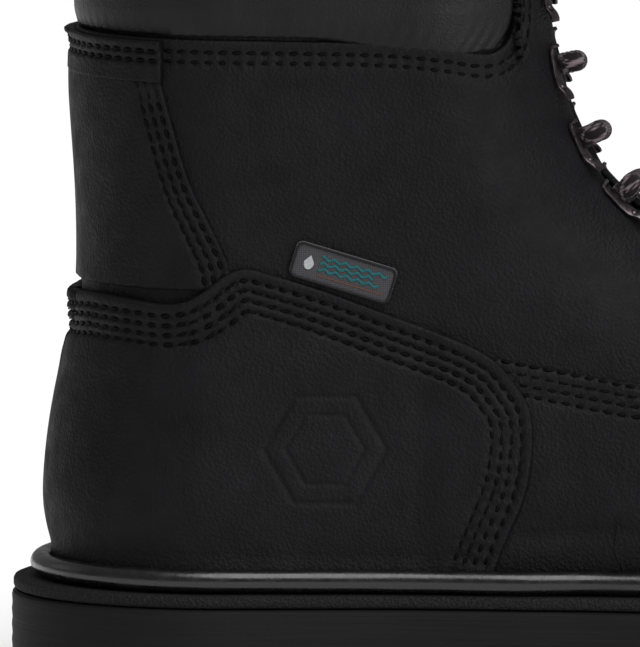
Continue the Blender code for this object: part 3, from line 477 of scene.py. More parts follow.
def rim_distance(grid):
    """Distance from each grid point to the nearest side of the grid."""
    steps_u = np.linalg.norm(np.diff(grid, axis=0), axis=-1)
    steps_v = np.linalg.norm(np.diff(grid, axis=1), axis=-1)
    u = np.concatenate([np.zeros((1, grid.shape[1])), np.cumsum(steps_u, axis=0)])
    v = np.concatenate([np.zeros((grid.shape[0], 1)), np.cumsum(steps_v, axis=1)], axis=1)
    return np.minimum.reduce([u, u[-1:] - u, v, v[:, -1:] - v])


def rounding(distance, radius):
    """How far a rounded edge drops at a distance from the rim."""
    share = np.clip(distance / radius, 0, 1)
    return (1 - np.sqrt(1 - (1 - share) ** 2)) * radius


def shell(points, normals, faces, low, high):
    """Closed solid between two distances from a patch of faces."""
    count = len(points)
    verts = np.vstack([points + normals * high[:, None], points + normals * low[:, None]])
    edges = np.concatenate([faces[:, [k, (k + 1) % 4]] for k in range(4)])
    code = edges[:, 0].astype(np.int64) * count + edges[:, 1]
    back = edges[:, 1].astype(np.int64) * count + edges[:, 0]
    rim = edges[~np.isin(code, back)]
    rim = rim[rim[:, 0] != rim[:, 1]]
    walls = np.stack([rim[:, 1], rim[:, 0], rim[:, 0] + count, rim[:, 1] + count], axis=1)
    return verts, np.vstack([faces, faces[:, ::-1] + count, walls]).tolist()


RIPPLE = 0.00011           # height of the leather's slow unevenness


def ripple(points):
    """Slow unevenness of the leather, shared by all its layers."""
    x, y, z = points[..., 0], points[..., 1], points[..., 2]
    side = np.sign(y)
    slow = (np.sin(61 * x + 23 * z + 1.3 * side) + np.sin(37 * x - 71 * z + 0.7)
            + 0.6 * np.sin(113 * x + 97 * z + 2.1 * side) + 0.5 * np.sin(151 * z - 89 * x))
    return RIPPLE * slow


def tube_rings(path, radii, closed=False):
    """Rings of points round a path; radii holds a row of radii for each ring."""
    ahead = np.roll(path, -1, axis=0) - np.roll(path, 1, axis=0)
    if not closed:
        ahead[0] = path[1] - path[0]
        ahead[-1] = path[-1] - path[-2]
    ahead = unit(ahead)
    angle = around(radii.shape[1])
    across = np.cross(ahead[0], (0.0, 0.0, 1.0) if abs(ahead[0][2]) < 0.9 else (0.0, 1.0, 0.0))
    rings = []
    for centre, forward, radius in zip(path, ahead, radii):
        across = unit(across - forward * (across @ forward))
        other = np.cross(forward, across)
        rings.append(centre + (radius * np.cos(angle))[:, None] * across
                     + (radius * np.sin(angle))[:, None] * other)
    return np.vstack(rings)


# ---- seams and stitches -----------------------------------------------------------------------------
STITCH_PITCH = 0.0033
STITCH_HALF = 0.00125      # half the length of one stitch
STITCH_RADIUS = 0.00036
STITCH_SINK = 0.00038      # thread's centre below the leather's face
STITCH_DIP = 0.00025       # how much deeper a stitch's ends go than its middle
STITCH_SIDES = 6
GROOVE_DEPTH = 0.00085
GROOVE_WIDTH = 0.00065
SEAM_REACH = 0.014         # points farther than this from a seam aren't shaped by it


def dense_line(points, step=0.0003):
    """Evenly spaced points along a polyline with their distances."""
    run = run_length(points)
    where = np.arange(0, run[-1], step)
    return at_distance(points, run, where), where


def shifted_line(line, distance, turn):
    """The line moved sideways across the face; turn +1 or -1 picks the side."""
    samples, _ = line
    tangent = np.pad(unit(np.gradient(samples, axis=0)), ((4, 4), (0, 0)), "edge")
    tangent = np.stack([np.convolve(column, np.ones(9) / 9, "valid") for column in tangent.T], axis=1)
    inward = unit(np.cross(normal_at(samples), tangent) * turn)
    return dense_line(onto_face(samples + inward * distance)[::3])


class Seam:
    """Rows of stitches at distances beside a line on the face."""

    def __init__(self, points, turn, rows):
        self.line = dense_line(points)
        self.turn = turn
        self.rows = rows

    def near(self, points):
        """Distance from each point to the line, and how far along it lies."""
        samples, where = self.line
        tree = KDTree(len(samples))
        for index, sample in enumerate(samples):
            tree.insert(sample, index)
        tree.balance()
        distance = np.full(len(points), 1.0)
        along = np.zeros(len(points))
        low = samples.min(axis=0) - SEAM_REACH
        high = samples.max(axis=0) + SEAM_REACH
        for k in np.where(((points > low) & (points < high)).all(axis=1))[0]:
            _, index, distance[k] = tree.find(points[k])
            along[k] = where[index]
        return distance, along

    def relief(self, points):
        """Groove that the stitches pull into the leather."""
        distance, along = self.near(points)
        pull = 0.72 + 0.28 * np.cos(2 * math.pi * along / STITCH_PITCH)
        return -GROOVE_DEPTH * pull * sum(bump(distance, row, GROOVE_WIDTH) for row in self.rows)


def stitch_template():
    """A short stretch of thread along +X, with unit radii and pointed ends."""
    verts = [(-1.0, 0.0, 0.0)]
    for x, radius in ((-0.86, 0.62), (-0.45, 0.96), (0.0, 1.0), (0.45, 0.96), (0.86, 0.62)):
        verts += [(x, radius * math.cos(a), radius * math.sin(a)) for a in around(STITCH_SIDES)]
    verts.append((1.0, 0.0, 0.0))
    faces = ring_faces(5, STITCH_SIDES, base=1)[:-2]
    last = len(verts) - 1
    for k in range(STITCH_SIDES):
        n = (k + 1) % STITCH_SIDES
        faces.append([0, 1 + n, 1 + k])
        faces.append([last - STITCH_SIDES + k, last - STITCH_SIDES + n, last])
    return np.array(verts), faces


def stitch_row(seam, row, height, template):
    """Points of every stitch in one row; height(points) is the surface they lie on."""
    line, where = shifted_line(seam.line, row, seam.turn)
    at = np.arange(STITCH_PITCH, where[-1] - STITCH_PITCH, STITCH_PITCH)
    centres = at_distance(line, where, at)
    normal = normal_at(centres)
    ahead = unit(at_distance(line, where, at + 0.0008) - centres)
    lean = 0.09 + 0.05 * np.sin(at * 9000.0)
    ahead = unit(ahead + np.cross(normal, ahead) * lean[:, None])
    side = np.cross(normal, ahead)
    level = centres + normal * (height(centres) - STITCH_SINK)[:, None]
    along, wide, high = (template[None, :, k, None] for k in range(3))
    width, thickness = STITCH_RADIUS * 1.15, STITCH_RADIUS * 0.8
    return (level[:, None] + along * STITCH_HALF * ahead[:, None] + wide * width * side[:, None]
            + (high * thickness - STITCH_DIP * along ** 2) * normal[:, None])


def stitches(name, seams, height, material):
    template, faces = stitch_template()
    blocks = np.concatenate([stitch_row(seam, row, height, template) for seam in seams for row in seam.rows])
    size = len(template)
    return piece(name, blocks.reshape(-1, 3),
                 [[i + k * size for i in face] for k in range(len(blocks)) for face in faces], material)


# ---- materials --------------------------------------------------------------------------------------
class Look:
    """A procedural material and the nodes that shape it."""

    def __init__(self, name, colour, rough, metal=0.0):
        self.material = bpy.data.materials.new(name)
        self.material.use_nodes = True
        self.tree = self.material.node_tree
        self.shader = self.tree.nodes["Principled BSDF"]
        self.fill(self.shader, {"Base Color": (*colour, 1.0), "Roughness": rough, "Metallic": metal})

    def fill(self, node, values):
        """Gives a node's inputs a constant or another node's output."""
        for key, value in values.items():
            if isinstance(value, bpy.types.NodeSocket):
                self.tree.links.new(value, node.inputs[key])
            else:
                node.inputs[key].default_value = value

    def node(self, kind, output, values, **settings):
        node = self.tree.nodes.new("ShaderNode" + kind)
        for key, value in settings.items():
            setattr(node, key, value)
        self.fill(node, values)
        return node.outputs[output]

    def place(self, scale=(1.0, 1.0, 1.0)):
        """Object coordinates in metres, stretched by a scale."""
        return self.node("Mapping", "Vector", {"Vector": self.node("TexCoord", "Object", {}), "Scale": scale})

    def noise(self, place, scale, detail=4.0, rough=0.55):
        values = {"Scale": scale, "Detail": detail, "Roughness": rough, "Vector": place}
        return self.node("TexNoise", "Fac", values)

    def cells(self, place, scale):
        return self.node("TexVoronoi", "Distance", {"Scale": scale, "Vector": place})

    def spread(self, value, low, high, from_low=0.3, from_high=0.7):
        values = {"From Min": from_low, "From Max": from_high, "To Min": low, "To Max": high, "Value": value}
        return self.node("MapRange", "Result", values)

    def added(self, first, second, share):
        return self.node("Math", "Value", {0: second, 1: share, 2: first}, operation="MULTIPLY_ADD")

    def tint(self, factor, dark, light):
        colour = self.node("Mix", "Result", {"A": (*dark, 1.0), "B": (*light, 1.0), "Factor": factor},
                           data_type="RGBA")
        self.fill(self.shader, {"Base Color": colour})

    def relief(self, height, distance):
        normal = self.node("Bump", "Normal", {"Strength": 1.0, "Distance": distance, "Height": height})
        self.fill(self.shader, {"Normal": normal})

    def shine(self, specular, sheen=0.0):
        self.fill(self.shader, {"Specular IOR Level": specular, "Sheen Weight": sheen})


def leather(name, dark, light, rough, grain, pore_scale, specular):
    look = Look(name, dark, rough[0])
    place = look.place()
    look.tint(look.spread(look.noise(place, 70.0, 8.0, 0.72), 0.0, 1.0), dark, light)
    look.fill(look.shader, {"Roughness": look.spread(look.noise(place, 160.0, 5.0, 0.65), *rough)})
    pores = look.added(look.cells(place, pore_scale), look.noise(place, 2600.0, 3.0, 0.6), 0.6)
    look.relief(look.added(pores, look.noise(place, 420.0, 4.0, 0.6), 0.9), grain)
    look.shine(specular)
    return look.material


def streaked_rubber(name, dark, light):
    """Moulded side wall with fine level streaks."""
    look = Look(name, dark, 0.62)
    streaks = look.noise(look.place((28.0, 28.0, 1900.0)), 1.0, 4.0, 0.7)
    look.tint(look.spread(streaks, 0.0, 1.0), dark, light)
    look.relief(look.added(streaks, look.noise(look.place(), 2400.0, 3.0), 0.5), 0.00016)
    look.shine(0.14)
    return look.material


def stippled_rubber(name, dark, light):
    look = Look(name, dark, 0.7)
    dots = look.cells(look.place(), 1700.0)
    look.tint(look.spread(dots, 0.0, 1.0, 0.2, 0.8), dark, light)
    look.relief(dots, 0.0003)
    look.shine(0.15)
    return look.material


def gloss_rubber(name, colour):
    look = Look(name, colour, 0.22)
    place = look.place()
    look.fill(look.shader, {"Roughness": look.spread(look.noise(place, 260.0, 3.0), 0.18, 0.34)})
    look.relief(look.noise(place, 900.0, 3.0), 0.00004)
    return look.material


def metal(name, colour, rough):
    look = Look(name, colour, rough, 1.0)
    place = look.place()
    look.fill(look.shader, {"Roughness": look.spread(look.noise(place, 700.0), rough * 0.7, rough * 1.5)})
    look.relief(look.noise(place, 2000.0), 0.00003)
    return look.material


def cloth(name, dark, light, pitch, depth=0.0002):
    """Knitted or woven fabric: two crossed sets of fine ribs."""
    look = Look(name, dark, 0.9)
    place = look.place()
    wave = {"Scale": math.pi / 10 / pitch, "Distortion": 1.2, "Detail": 1.0, "Vector": place}
    ribs = [look.node("TexWave", "Fac", wave, bands_direction=direction) for direction in ("X", "Z")]
    height = look.added(*ribs, 1.0)
    look.tint(look.spread(height, 0.0, 1.0, 0.2, 1.8), dark, light)
    look.relief(height, depth)
    look.fill(look.shader, {"Sheen Weight": 0.2})
    return look.material


def braided_yarn(name, dark, light):
    """Colours are painted strand by strand on the mesh."""
    look = Look(name, dark, 0.85)
    look.tint(look.node("Attribute", "Fac", {}, attribute_name="fleck"), dark, light)
    look.relief(look.noise(look.place(), 3000.0, 3.0), 0.00015)
    look.shine(0.12, 0.05)
    return look.material


def thread(name, dark, light, specular=0.15):
    look = Look(name, dark, 0.55)
    strands = look.noise(look.place(), 3200.0, 2.0)
    look.tint(look.spread(strands, 0.0, 1.0), dark, light)
    look.relief(strands, 0.0001)
    look.shine(specular)
    return look.material


# ---- the upper's panels -----------------------------------------------------------------------------
# distances of a panel's inner and outer faces from the quarter's outer face
QUARTER_LAYER = (-0.0018, 0.0)
BACKSTAY_LAYER = (0.0, 0.0013)
COUNTER_LAYER = (-0.0002, 0.0017)
VAMP_LAYER = (-0.0002, 0.0016)
BAND_LAYER = (0.0, 0.0015)
BAND_END_X = -0.1190
BAND_LOW = 0.1546
BAND_HIGH = 0.1643
# distances of the stitch rows from each panel's edge
COUNTER_ROWS = (0.0027, 0.0050, 0.0073, 0.0096)
BACKSTAY_ROWS = (0.0018, 0.0040, 0.0062)
COLLAR_ROWS = (0.0029, 0.0052)
EMBLEM_MIDDLE = (-0.0815, 0.0690)
EMBLEM_DEPTH = 0.00042
EMBLEM_LINES = ((0.0124, 0.00075, 1.0), (0.0080, 0.0006, 0.8))   # reach, width, share of the depth
SIDES = ((-1, "lateral"), (1, "medial"))


def turn_at(x, z):
    """Turn from the back of a point on the medial side."""
    return abs(turn_of([(x, z)], 1)[0][0])


def quarter_params(side, nu, nv):
    seam_turn = side * 0.006
    bottom = face_line([(-0.1300, FOOT_Z), (-0.0220, FOOT_Z)] + UNDERLAP, side, nu, (seam_turn, FOOT_Z))
    head = [(-0.1300, COLLAR_BACK_Z)] + COLLAR_SEAM + [FACING_EDGE[-1]]
    top = face_line(head, side, nu, (seam_turn, COLLAR_BACK_Z))
    left = np.stack([np.full(nv, seam_turn), np.linspace(FOOT_Z, COLLAR_BACK_Z, nv)], axis=1)
    return coons(bottom, top, left, turn_of(resample(FACING_EDGE, nv), side))


def backstay_params(nu, nv):
    edge = resample(BACKSTAY_EDGE, nv)
    u = np.linspace(0, 1, nu)[:, None, None]
    return turn_of(edge, -1)[None] * (1 - u) + turn_of(edge, 1)[None] * u


def band_params(nu, nv):
    u = np.linspace(-1, 1, nu)[:, None]
    v = np.linspace(0, 1, nv)[None, :]
    turn = u * (turn_at(BAND_END_X, BAND_LOW) * (1 - v) + turn_at(BAND_END_X, BAND_HIGH) * v)
    return np.stack([turn, BAND_LOW + (BAND_HIGH - BAND_LOW) * v + 0 * u], axis=-1)


def wrap_line(points, count):
    """From the lateral end of a line round the back to the medial one."""
    halves = [face_line(points, side, count, (0.0, points[0][1])) for side in (-1, 1)]
    return np.vstack([halves[0][:0:-1], halves[1]])


def counter_params(nu, nv):
    top = [(-0.1414, COUNTER_TOP_BACK_Z)] + COUNTER_TOP
    foot = [(-0.1300, FOOT_Z), (-0.1000, FOOT_Z), (-0.0500, FOOT_Z), COUNTER_FRONT[0]]
    edge = resample(COUNTER_FRONT, nv)
    half = nu // 2 + 1
    return coons(wrap_line(foot, half), wrap_line(top, half), turn_of(edge, -1), turn_of(edge, 1))


def counter_lift(points):
    """The counter rides up over the backstay and over the vamp."""
    x, _, z = points.T
    over_back = (1 - smoothstep(-0.114, -0.101, x)) * smoothstep(0.090, 0.100, z)
    body = smoothstep(0.098, 0.086, z) * (1 - smoothstep(-0.064, -0.052, x))
    over_vamp = smoothstep(-0.061, -0.052, x)
    flare = smoothstep(0.0450, 0.0395, z)
    return 0.0014 * np.maximum(over_back, body) + 0.0015 * over_vamp + 0.0010 * flare


def counter_height(points):
    return COUNTER_LAYER[1] + counter_lift(points) + ripple(points)


def backstay_height(points):
    return BACKSTAY_LAYER[1] + ripple(points)


def band_lift(points):
    """The back band lies flat along its stitching and lifts along its upper edge and its front end."""
    x, y, z = points.T
    curl = smoothstep(0.1600, BAND_HIGH, z) * (0.75 + 0.25 * np.sin(y * 260.0 + 1.0))
    return 0.0012 * curl + 0.0004 * smoothstep(-0.1235, BAND_END_X, x)


def collar_row_height(points):
    """The rows under the collar run over the band at the back and over the quarter elsewhere."""
    on_band = points[:, 0] < BAND_END_X
    return np.where(on_band, BAND_LAYER[1] + band_lift(points), 0.0) + ripple(points)


def crease(points):
    """Soft fold of the vamp just above the welt, and a gentle roll at the ball of the foot."""
    x, _, z = points.T
    fold = bump(z, 0.0500 + 0.06 * (x + 0.02), 0.0022) * smoothstep(-0.055, -0.030, x)
    ball = bump(x + 0.35 * (z - 0.08), 0.058, 0.0042) + 0.7 * bump(x, 0.073, 0.0036)
    return -0.00055 * fold * (1 - smoothstep(0.03, 0.07, x)) - 0.00075 * ball * smoothstep(0.045, 0.070, z)


def vamp_height(points):
    return VAMP_LAYER[1] + ripple(points) + crease(points)


def emblem_relief(points):
    """Plain hexagon pressed into the lateral side of the counter."""
    x = points[:, 0] - EMBLEM_MIDDLE[0]
    z = points[:, 2] - EMBLEM_MIDDLE[1]
    sector = np.mod(np.arctan2(z, x), math.pi / 3) - math.pi / 6
    reach = np.hypot(x, z) * np.cos(sector)
    pressed = sum(share * bump(reach, line, width) for line, width, share in EMBLEM_LINES)
    return np.where(points[:, 1] < 0, -EMBLEM_DEPTH * pressed, 0.0)


def face_seam(side, points, start, rows, turn):
    params = face_line(points, side, 260, start)
    return Seam(shaft_points(params[:, 0], params[:, 1]), turn, rows)


def vamp_seam(side):
    x, z = resample(VAMP_EDGE, 200).T
    return Seam(np.stack([x, side_y(x, z, side), z], axis=1), side, COUNTER_ROWS)


def make_seams():
    """Both sides' seams of each panel, the lateral one first."""
    counter_edge = COUNTER_TOP + COUNTER_FRONT[-2::-1]
    collar_edge = [(-0.1300, COLLAR_BACK_Z)] + COLLAR_SEAM
    seams = {"counter": [], "backstay": [], "quarter": [], "vamp": []}
    for side, _ in SIDES:
        seams["counter"].append(face_seam(side, counter_edge, (0.0, COUNTER_TOP_BACK_Z), COUNTER_ROWS, side))
        seams["backstay"].append(face_seam(side, BACKSTAY_EDGE, None, BACKSTAY_ROWS, -side))
        seams["quarter"].append(face_seam(side, collar_edge, (0.0, COLLAR_BACK_Z), COLLAR_ROWS, side))
        seams["vamp"].append(vamp_seam(side))
    return seams


def sheet_of_leather(name, patch, rim, layer, material, slot, nodes, seams, lift, edge):
    """Panel with rounded cut edges, grooved along its seams; patch is (points, normals, faces)."""
    points, normals, faces = patch
    outer = layer[1] + ripple(points) + lift(points)
    for seam in seams:
        outer = outer + seam.relief(points)
    outer = outer - rounding(rim, edge)
    inner = np.minimum(layer[0] + ripple(points), outer - 0.0001)
    return piece(name, *shell(points, normals, faces, inner, outer), material, slot, nodes)


def shaft_panel(name, params, count, layer, material, slot, node, seams, lift, edge):
    coarse = shaft_points(params[..., 0], params[..., 1])
    grid = refined(coarse, stations(count[0]), stations(count[1]))
    patch = (grid.reshape(-1, 3), grid_normals(grid).reshape(-1, 3), grid_faces(*grid.shape[:2]))
    rim = rim_distance(grid).ravel()
    sheet_of_leather(name, patch, rim, layer, material, slot, (node,), seams, lift, edge)


def flat_lift(points):
    return np.zeros(len(points))


def counter_shape(points):
    return counter_lift(points) + emblem_relief(points)


def build_panels(material, seams):
    for (side, label), seam in zip(SIDES, seams["quarter"]):
        shaft_panel(f"quarter_{label}_leather", quarter_params(side, 110, 46), (330, 150), QUARTER_LAYER,
                    material, "quarter_leather", f"quarter_{label}", [seam], flat_lift, 0.0008)
    shaft_panel("backstay_leather", backstay_params(64, 30), (190, 130), BACKSTAY_LAYER, material, "backstay",
                "backstay", seams["backstay"], flat_lift, 0.0007)
    shaft_panel("back_band_leather", band_params(50, 10), (170, 50), BAND_LAYER, material, "back_band",
                "back_band", seams["quarter"], band_lift, 0.0005)
    shaft_panel("counter_leather", counter_params(150, 36), (480, 190), COUNTER_LAYER, material,
                "counter_pocket", "counter_pocket", seams["counter"], counter_shape, 0.0009)
    build_vamp(material, seams["vamp"])


def vamp_slit(x, z0):
    """Angle from upright at which the vamp starts: the slit's edge behind the throat, the ridge before it."""
    last_x, last_z = VAMP_EDGE[-1]
    if x <= last_x:
        z = float(curve(VAMP_EDGE, x))
        y = float(side_y(np.array([x]), np.array([z]), 1)[0]) - float(middle_y(x, z))
        return math.atan2(y, z - z0)
    if x < THROAT_X:
        y = float(side_y(np.array([last_x]), np.array([last_z]), 1)[0])
        closing = math.sqrt((THROAT_X - x) / (THROAT_X - last_x))
        return math.atan2(y * closing, float(np.interp(x, RIDGE[:, 0], RIDGE[:, 1])) - z0)
    return 0.0


def vamp_half(side, xs, nv):
    """Grid from the slit or ridge down to the welt on one side."""
    z0 = sole_top(xs) + 0.0009
    slit = np.array([vamp_slit(x, z) for x, z in zip(xs, z0)])[:, None]
    angle = side * (slit + (0.5 * math.pi - slit) * np.linspace(0, 1, nv)[None, :])
    across = np.zeros_like(angle)
    return arch_points(xs[:, None] + across, angle, z0[:, None] + across)


def build_vamp(material, seams):
    """Both halves share the ridge line in front of the throat."""
    wing = VAMP_BACK_X + (THROAT_X - VAMP_BACK_X) * (1 - (1 - np.linspace(0, 1, 34)) ** 1.25)
    front = THROAT_X + (TIP_X - 0.00002 - THROAT_X) * np.sin(0.5 * math.pi * np.linspace(0, 1, 30))
    wing_us = np.unique(np.concatenate([[0.001, 0.003, 0.006], np.linspace(0, 1, 130)]))
    halves = []
    for side, _ in SIDES:
        coarse = vamp_half(side, np.concatenate([wing, front[1:]]), 30)
        rear = refined(coarse[:len(wing)], wing_us, stations(96))
        fore = refined(coarse[len(wing) - 1:], np.linspace(0, 1, 150), stations(96))
        halves.append(np.concatenate([rear, fore[1:]]))
    count_u, count_v = halves[0].shape[:2]
    size = count_u * count_v
    ridge = np.arange(len(wing_us) - 1, count_u) * count_v
    points = np.concatenate([half.reshape(-1, 3) for half in halves])
    normals = np.concatenate([grid_normals(half).reshape(-1, 3) for half in halves])
    normals[ridge] = unit(normals[ridge] + normals[ridge + size])
    quads = grid_faces(count_u, count_v)
    weld = np.arange(2 * size)
    weld[ridge + size] = ridge
    faces = weld[np.vstack([quads, quads[:, ::-1] + size])]
    steps = np.linalg.norm(np.diff(halves[0], axis=1), axis=-1)
    down = np.concatenate([np.zeros((count_u, 1)), np.cumsum(steps, axis=1)], axis=1)
    down[len(wing_us) - 1:] += 0.0008
    rim = np.minimum(down, halves[0][..., 0] - VAMP_BACK_X)
    keep, inverse = np.unique(faces, return_inverse=True)
    patch = (points[keep], normals[keep], inverse.reshape(faces.shape))
    sheet_of_leather("vamp_leather", patch, np.tile(rim.ravel(), 2)[keep], VAMP_LAYER, material, "vamp",
                     ("vamp",), seams, crease, 0.0007)


# ---- sole -------------------------------------------------------------------------------------------
TREAD_CUTTER = (0.0055, 0.14)  # length and width of a groove across the tread
SIPE_CUTTER = (0.0018, 0.14)
TREAD_COUNT = 6
TREAD_TURN = 0.12
HEEL_COUNT = 2
OUTLINE_POINTS = 170       # along each side of the sole
BEAD_POINTS = 190
BEAD_SIDES = 20
SOLE_STREAKS = 16
TREAD_PITCH = 0.023
HEEL_PITCH = 0.028


def ring_slab(name, outline, profile, material, node):
    """Solid of stacked rings inside an outline: profile rows are (inset, heights round the outline)."""
    out = outward(outline)
    rings = [np.column_stack([outline - out * inset, height]) for inset, height in profile]
    count = len(outline)
    faces = ring_faces(len(rings), count)[:-2]
    for base in (0, (len(rings) - 1) * count):
        for k in range(count // 2):
            quad = (base + k, base + k + 1, base + count - k - 1, base + (count - k) % count)
            faces.append(list(dict.fromkeys(quad)))
    return piece(name, np.vstack(rings), faces, material, node, (node,), smooth=False)


def box_tool(name, centre, size, turn=0.0):
    mesh = bpy.data.meshes.new(name)
    bm = bmesh.new()
    bmesh.ops.create_cube(bm, size=1.0)
    bmesh.ops.scale(bm, vec=size, verts=bm.verts)
    bmesh.ops.bevel(bm, geom=bm.edges[:], offset=0.0008, segments=2, affect="EDGES")
    bm.to_mesh(mesh)
    bm.free()
    tool = bpy.data.objects.new(name, mesh)
    tool.location = centre
    tool.rotation_euler = (0, 0, turn)
    bpy.context.scene.collection.objects.link(tool)
    return tool


def cut_away(target, tools):
    for tool in tools:
        cut = target.modifiers.new(tool.name, "BOOLEAN")
        cut.operation = "DIFFERENCE"
        cut.solver = "EXACT"
        cut.object = tool
    depsgraph = bpy.context.evaluated_depsgraph_get()
    mesh = bpy.data.meshes.new_from_object(target.evaluated_get(depsgraph))
    target.modifiers.clear()
    target.data = mesh
    for tool in tools:
        bpy.data.objects.remove(tool, do_unlink=True)


def smooth_below(obj, degrees):
    """Smooth shading that keeps the edges sharper than the angle."""
    obj.data.polygons.foreach_set("use_smooth", [True] * len(obj.data.polygons))
    bm = bmesh.new()
    bm.from_mesh(obj.data)
    for edge in bm.edges:
        edge.smooth = len(edge.link_faces) == 2 and edge.calc_face_angle(0.0) < math.radians(degrees)
    bm.to_mesh(obj.data)
    bm.free()


def tread_tools():
    tools = []
    for k in range(TREAD_COUNT):
        x = 0.014 + TREAD_PITCH * k
        lift = float(curve(GROUND, x))
        tools.append(box_tool(f"tread_{k}", (x, 0.0, lift), (*TREAD_CUTTER, 0.011), TREAD_TURN))
        if k < TREAD_COUNT - 1:
            place = (x + 0.5 * TREAD_PITCH, 0.0, lift)
            tools.append(box_tool(f"sipe_{k}", place, (*SIPE_CUTTER, 0.006), TREAD_TURN))
    for k in range(HEEL_COUNT):
        x = -0.131 + HEEL_PITCH * k
        tools.append(box_tool(f"heel_{k}", (x, 0.0, 0.0), (*TREAD_CUTTER, 0.009)))
        tools.append(box_tool(f"heel_sipe_{k}", (x + 0.5 * HEEL_PITCH, 0.0, 0.0), (*SIPE_CUTTER, 0.005)))
    tools.append(box_tool("channel", (0.070, 0.003, 0.0), (0.124, 0.006, 0.011)))
    return tools


def build_outsole(material):
    outline = plan_outline(SOLE_MARGIN, OUTLINE_POINTS)
    x = outline[:, 0]
    arch = smoothstep(-0.066, -0.060, x) * (1 - smoothstep(-0.030, 0.004, x))
    ground = curve(GROUND, x) + 0.011 * arch
    top = sole_top(x) - PLATE_THICKNESS - GAP
    low = ground + 0.0022
    high = top - 0.0012
    profile = [(0.0016, ground), (0.0007, ground + 0.0004), (0.0001, ground + 0.0012), (0.0, low)]
    profile += [(0.00012 if k % 2 else -0.00004, low + (high - low) * k / SOLE_STREAKS)
                for k in range(1, SOLE_STREAKS)]
    profile += [(0.0, high), (0.0002, top - 0.0005), (0.0010, top)]
    outsole = ring_slab("outsole_lugged", outline, profile, material, "outsole")
    cut_away(outsole, tread_tools())
    smooth_below(outsole, 32)


def build_sole(looks):
    build_outsole(looks["outsole"])
    outline = plan_outline(SOLE_MARGIN, OUTLINE_POINTS, -0.0004)
    low = sole_top(outline[:, 0]) - PLATE_THICKNESS
    rise = PLATE_THICKNESS - GAP
    rows = ((0.0008, 0.0), (0.0002, 0.12), (0.0, 0.3), (0.0, 0.7), (0.0003, 0.9), (0.0011, 1.0))
    plate = ring_slab("sole_plate_stippled", outline, [(inset, low + rise * share) for inset, share in rows],
                      looks["plate"], "sole_plate")
    smooth_below(plate, 50)
    loop = plan_outline(BEAD_MARGIN, BEAD_POINTS)
    path = np.column_stack([loop, sole_top(loop[:, 0]) + BEAD_RADIUS + 0.0001])
    radii = BEAD_RADIUS * (1 + 0.012 * np.sin(run_length(path) * 310.0))[:, None] * np.ones(BEAD_SIDES)
    faces = ring_faces(len(path), BEAD_SIDES, closed=True)
    piece("welt_bead_gloss", tube_rings(path, radii, closed=True), faces, looks["bead"], "welt_bead",
          ("welt_bead",))


# ---- collar and tongue ------------------------------------------------------------------------------
# round the sleeve: (share of the collar's height, distance at the back, distance at the front end)
COLLAR_SECTION = [(0.00, -0.0004, -0.0004), (0.10, 0.0006, 0.0002), (0.30, 0.0013, 0.0006),
                  (0.65, 0.0016, 0.0006), (0.86, 0.0006, -0.0003),
                  (0.965, -0.0016, -0.0018), (1.00, -0.0040, -0.0032),
                  (0.96, -0.0070, -0.0050), (0.86, -0.0090, -0.0060), (0.60, -0.0100, -0.0071),
                  (0.25, -0.0093, -0.0067), (0.02, -0.0072, -0.0062), (0.02, -0.0062, -0.0052),
                  (0.25, -0.0080, -0.0056), (0.60, -0.0086, -0.0058), (0.86, -0.0076, -0.0046),
                  (0.955, -0.0040, -0.0034), (0.86, -0.0014, -0.0018), (0.65, 0.0002, -0.0008),
                  (0.30, -0.0002, -0.0008), (0.00, -0.0016, -0.0016)]
COLLAR_COUNT = (420, 190)  # places along and round the sleeve
COLLAR_OUTSIDE = 100       # places round the sleeve that lie on its outer side
TONGUE_LAYER = (-0.0166, -0.0134)
TONGUE_HEIGHTS = (0.0985, 0.110, 0.126, 0.147, 0.171, 0.2035)
TONGUE_HALF_WIDTH = [(0.0985, 0.0240), (0.115, 0.0280), (0.150, 0.0290), (0.2035, 0.0295)]
TONGUE_CHANNELS = 6
TONGUE_EDGE = (0.0016, 0.0015)   # width and depth of the rounded edge
RIDGE_NORMAL = np.array([0.9285, 0.0, 0.3714])


def collar_grid():
    """Fine points and normals of the sleeve, along it and round its section."""
    section = resample(COLLAR_SECTION + COLLAR_SECTION[:1], 64)
    share = np.linspace(-1, 1, 61)
    x = shaft_points(share * turn_at(-0.0378, 0.180), np.full(len(share), 0.165))[:, 0]
    z_low = curve(COLLAR_LOW, x) + 0.0002 - 0.0022 * smoothstep(0.62, 0.86, np.abs(share))
    z = z_low[:, None] + section[None, :, 0] * (SHAFT_TOP - z_low)[:, None]
    front = np.stack([curve(COLLAR_FRONT, z.ravel()), z.ravel()], axis=1)
    turn = share[:, None] * np.abs(turn_of(front, 1)[:, 0]).reshape(z.shape)
    surface = shaft_points(turn, z)
    normals = normal_at(surface)
    front_share = smoothstep(0.70, 1.0, np.abs(share))[:, None]
    offset = section[None, :, 1] * (1 - front_share) + section[None, :, 2] * front_share
    stops = [np.linspace(0, 1, count) for count in COLLAR_COUNT]
    return refined(surface + normals * offset[..., None], *stops), refined(normals, *stops)


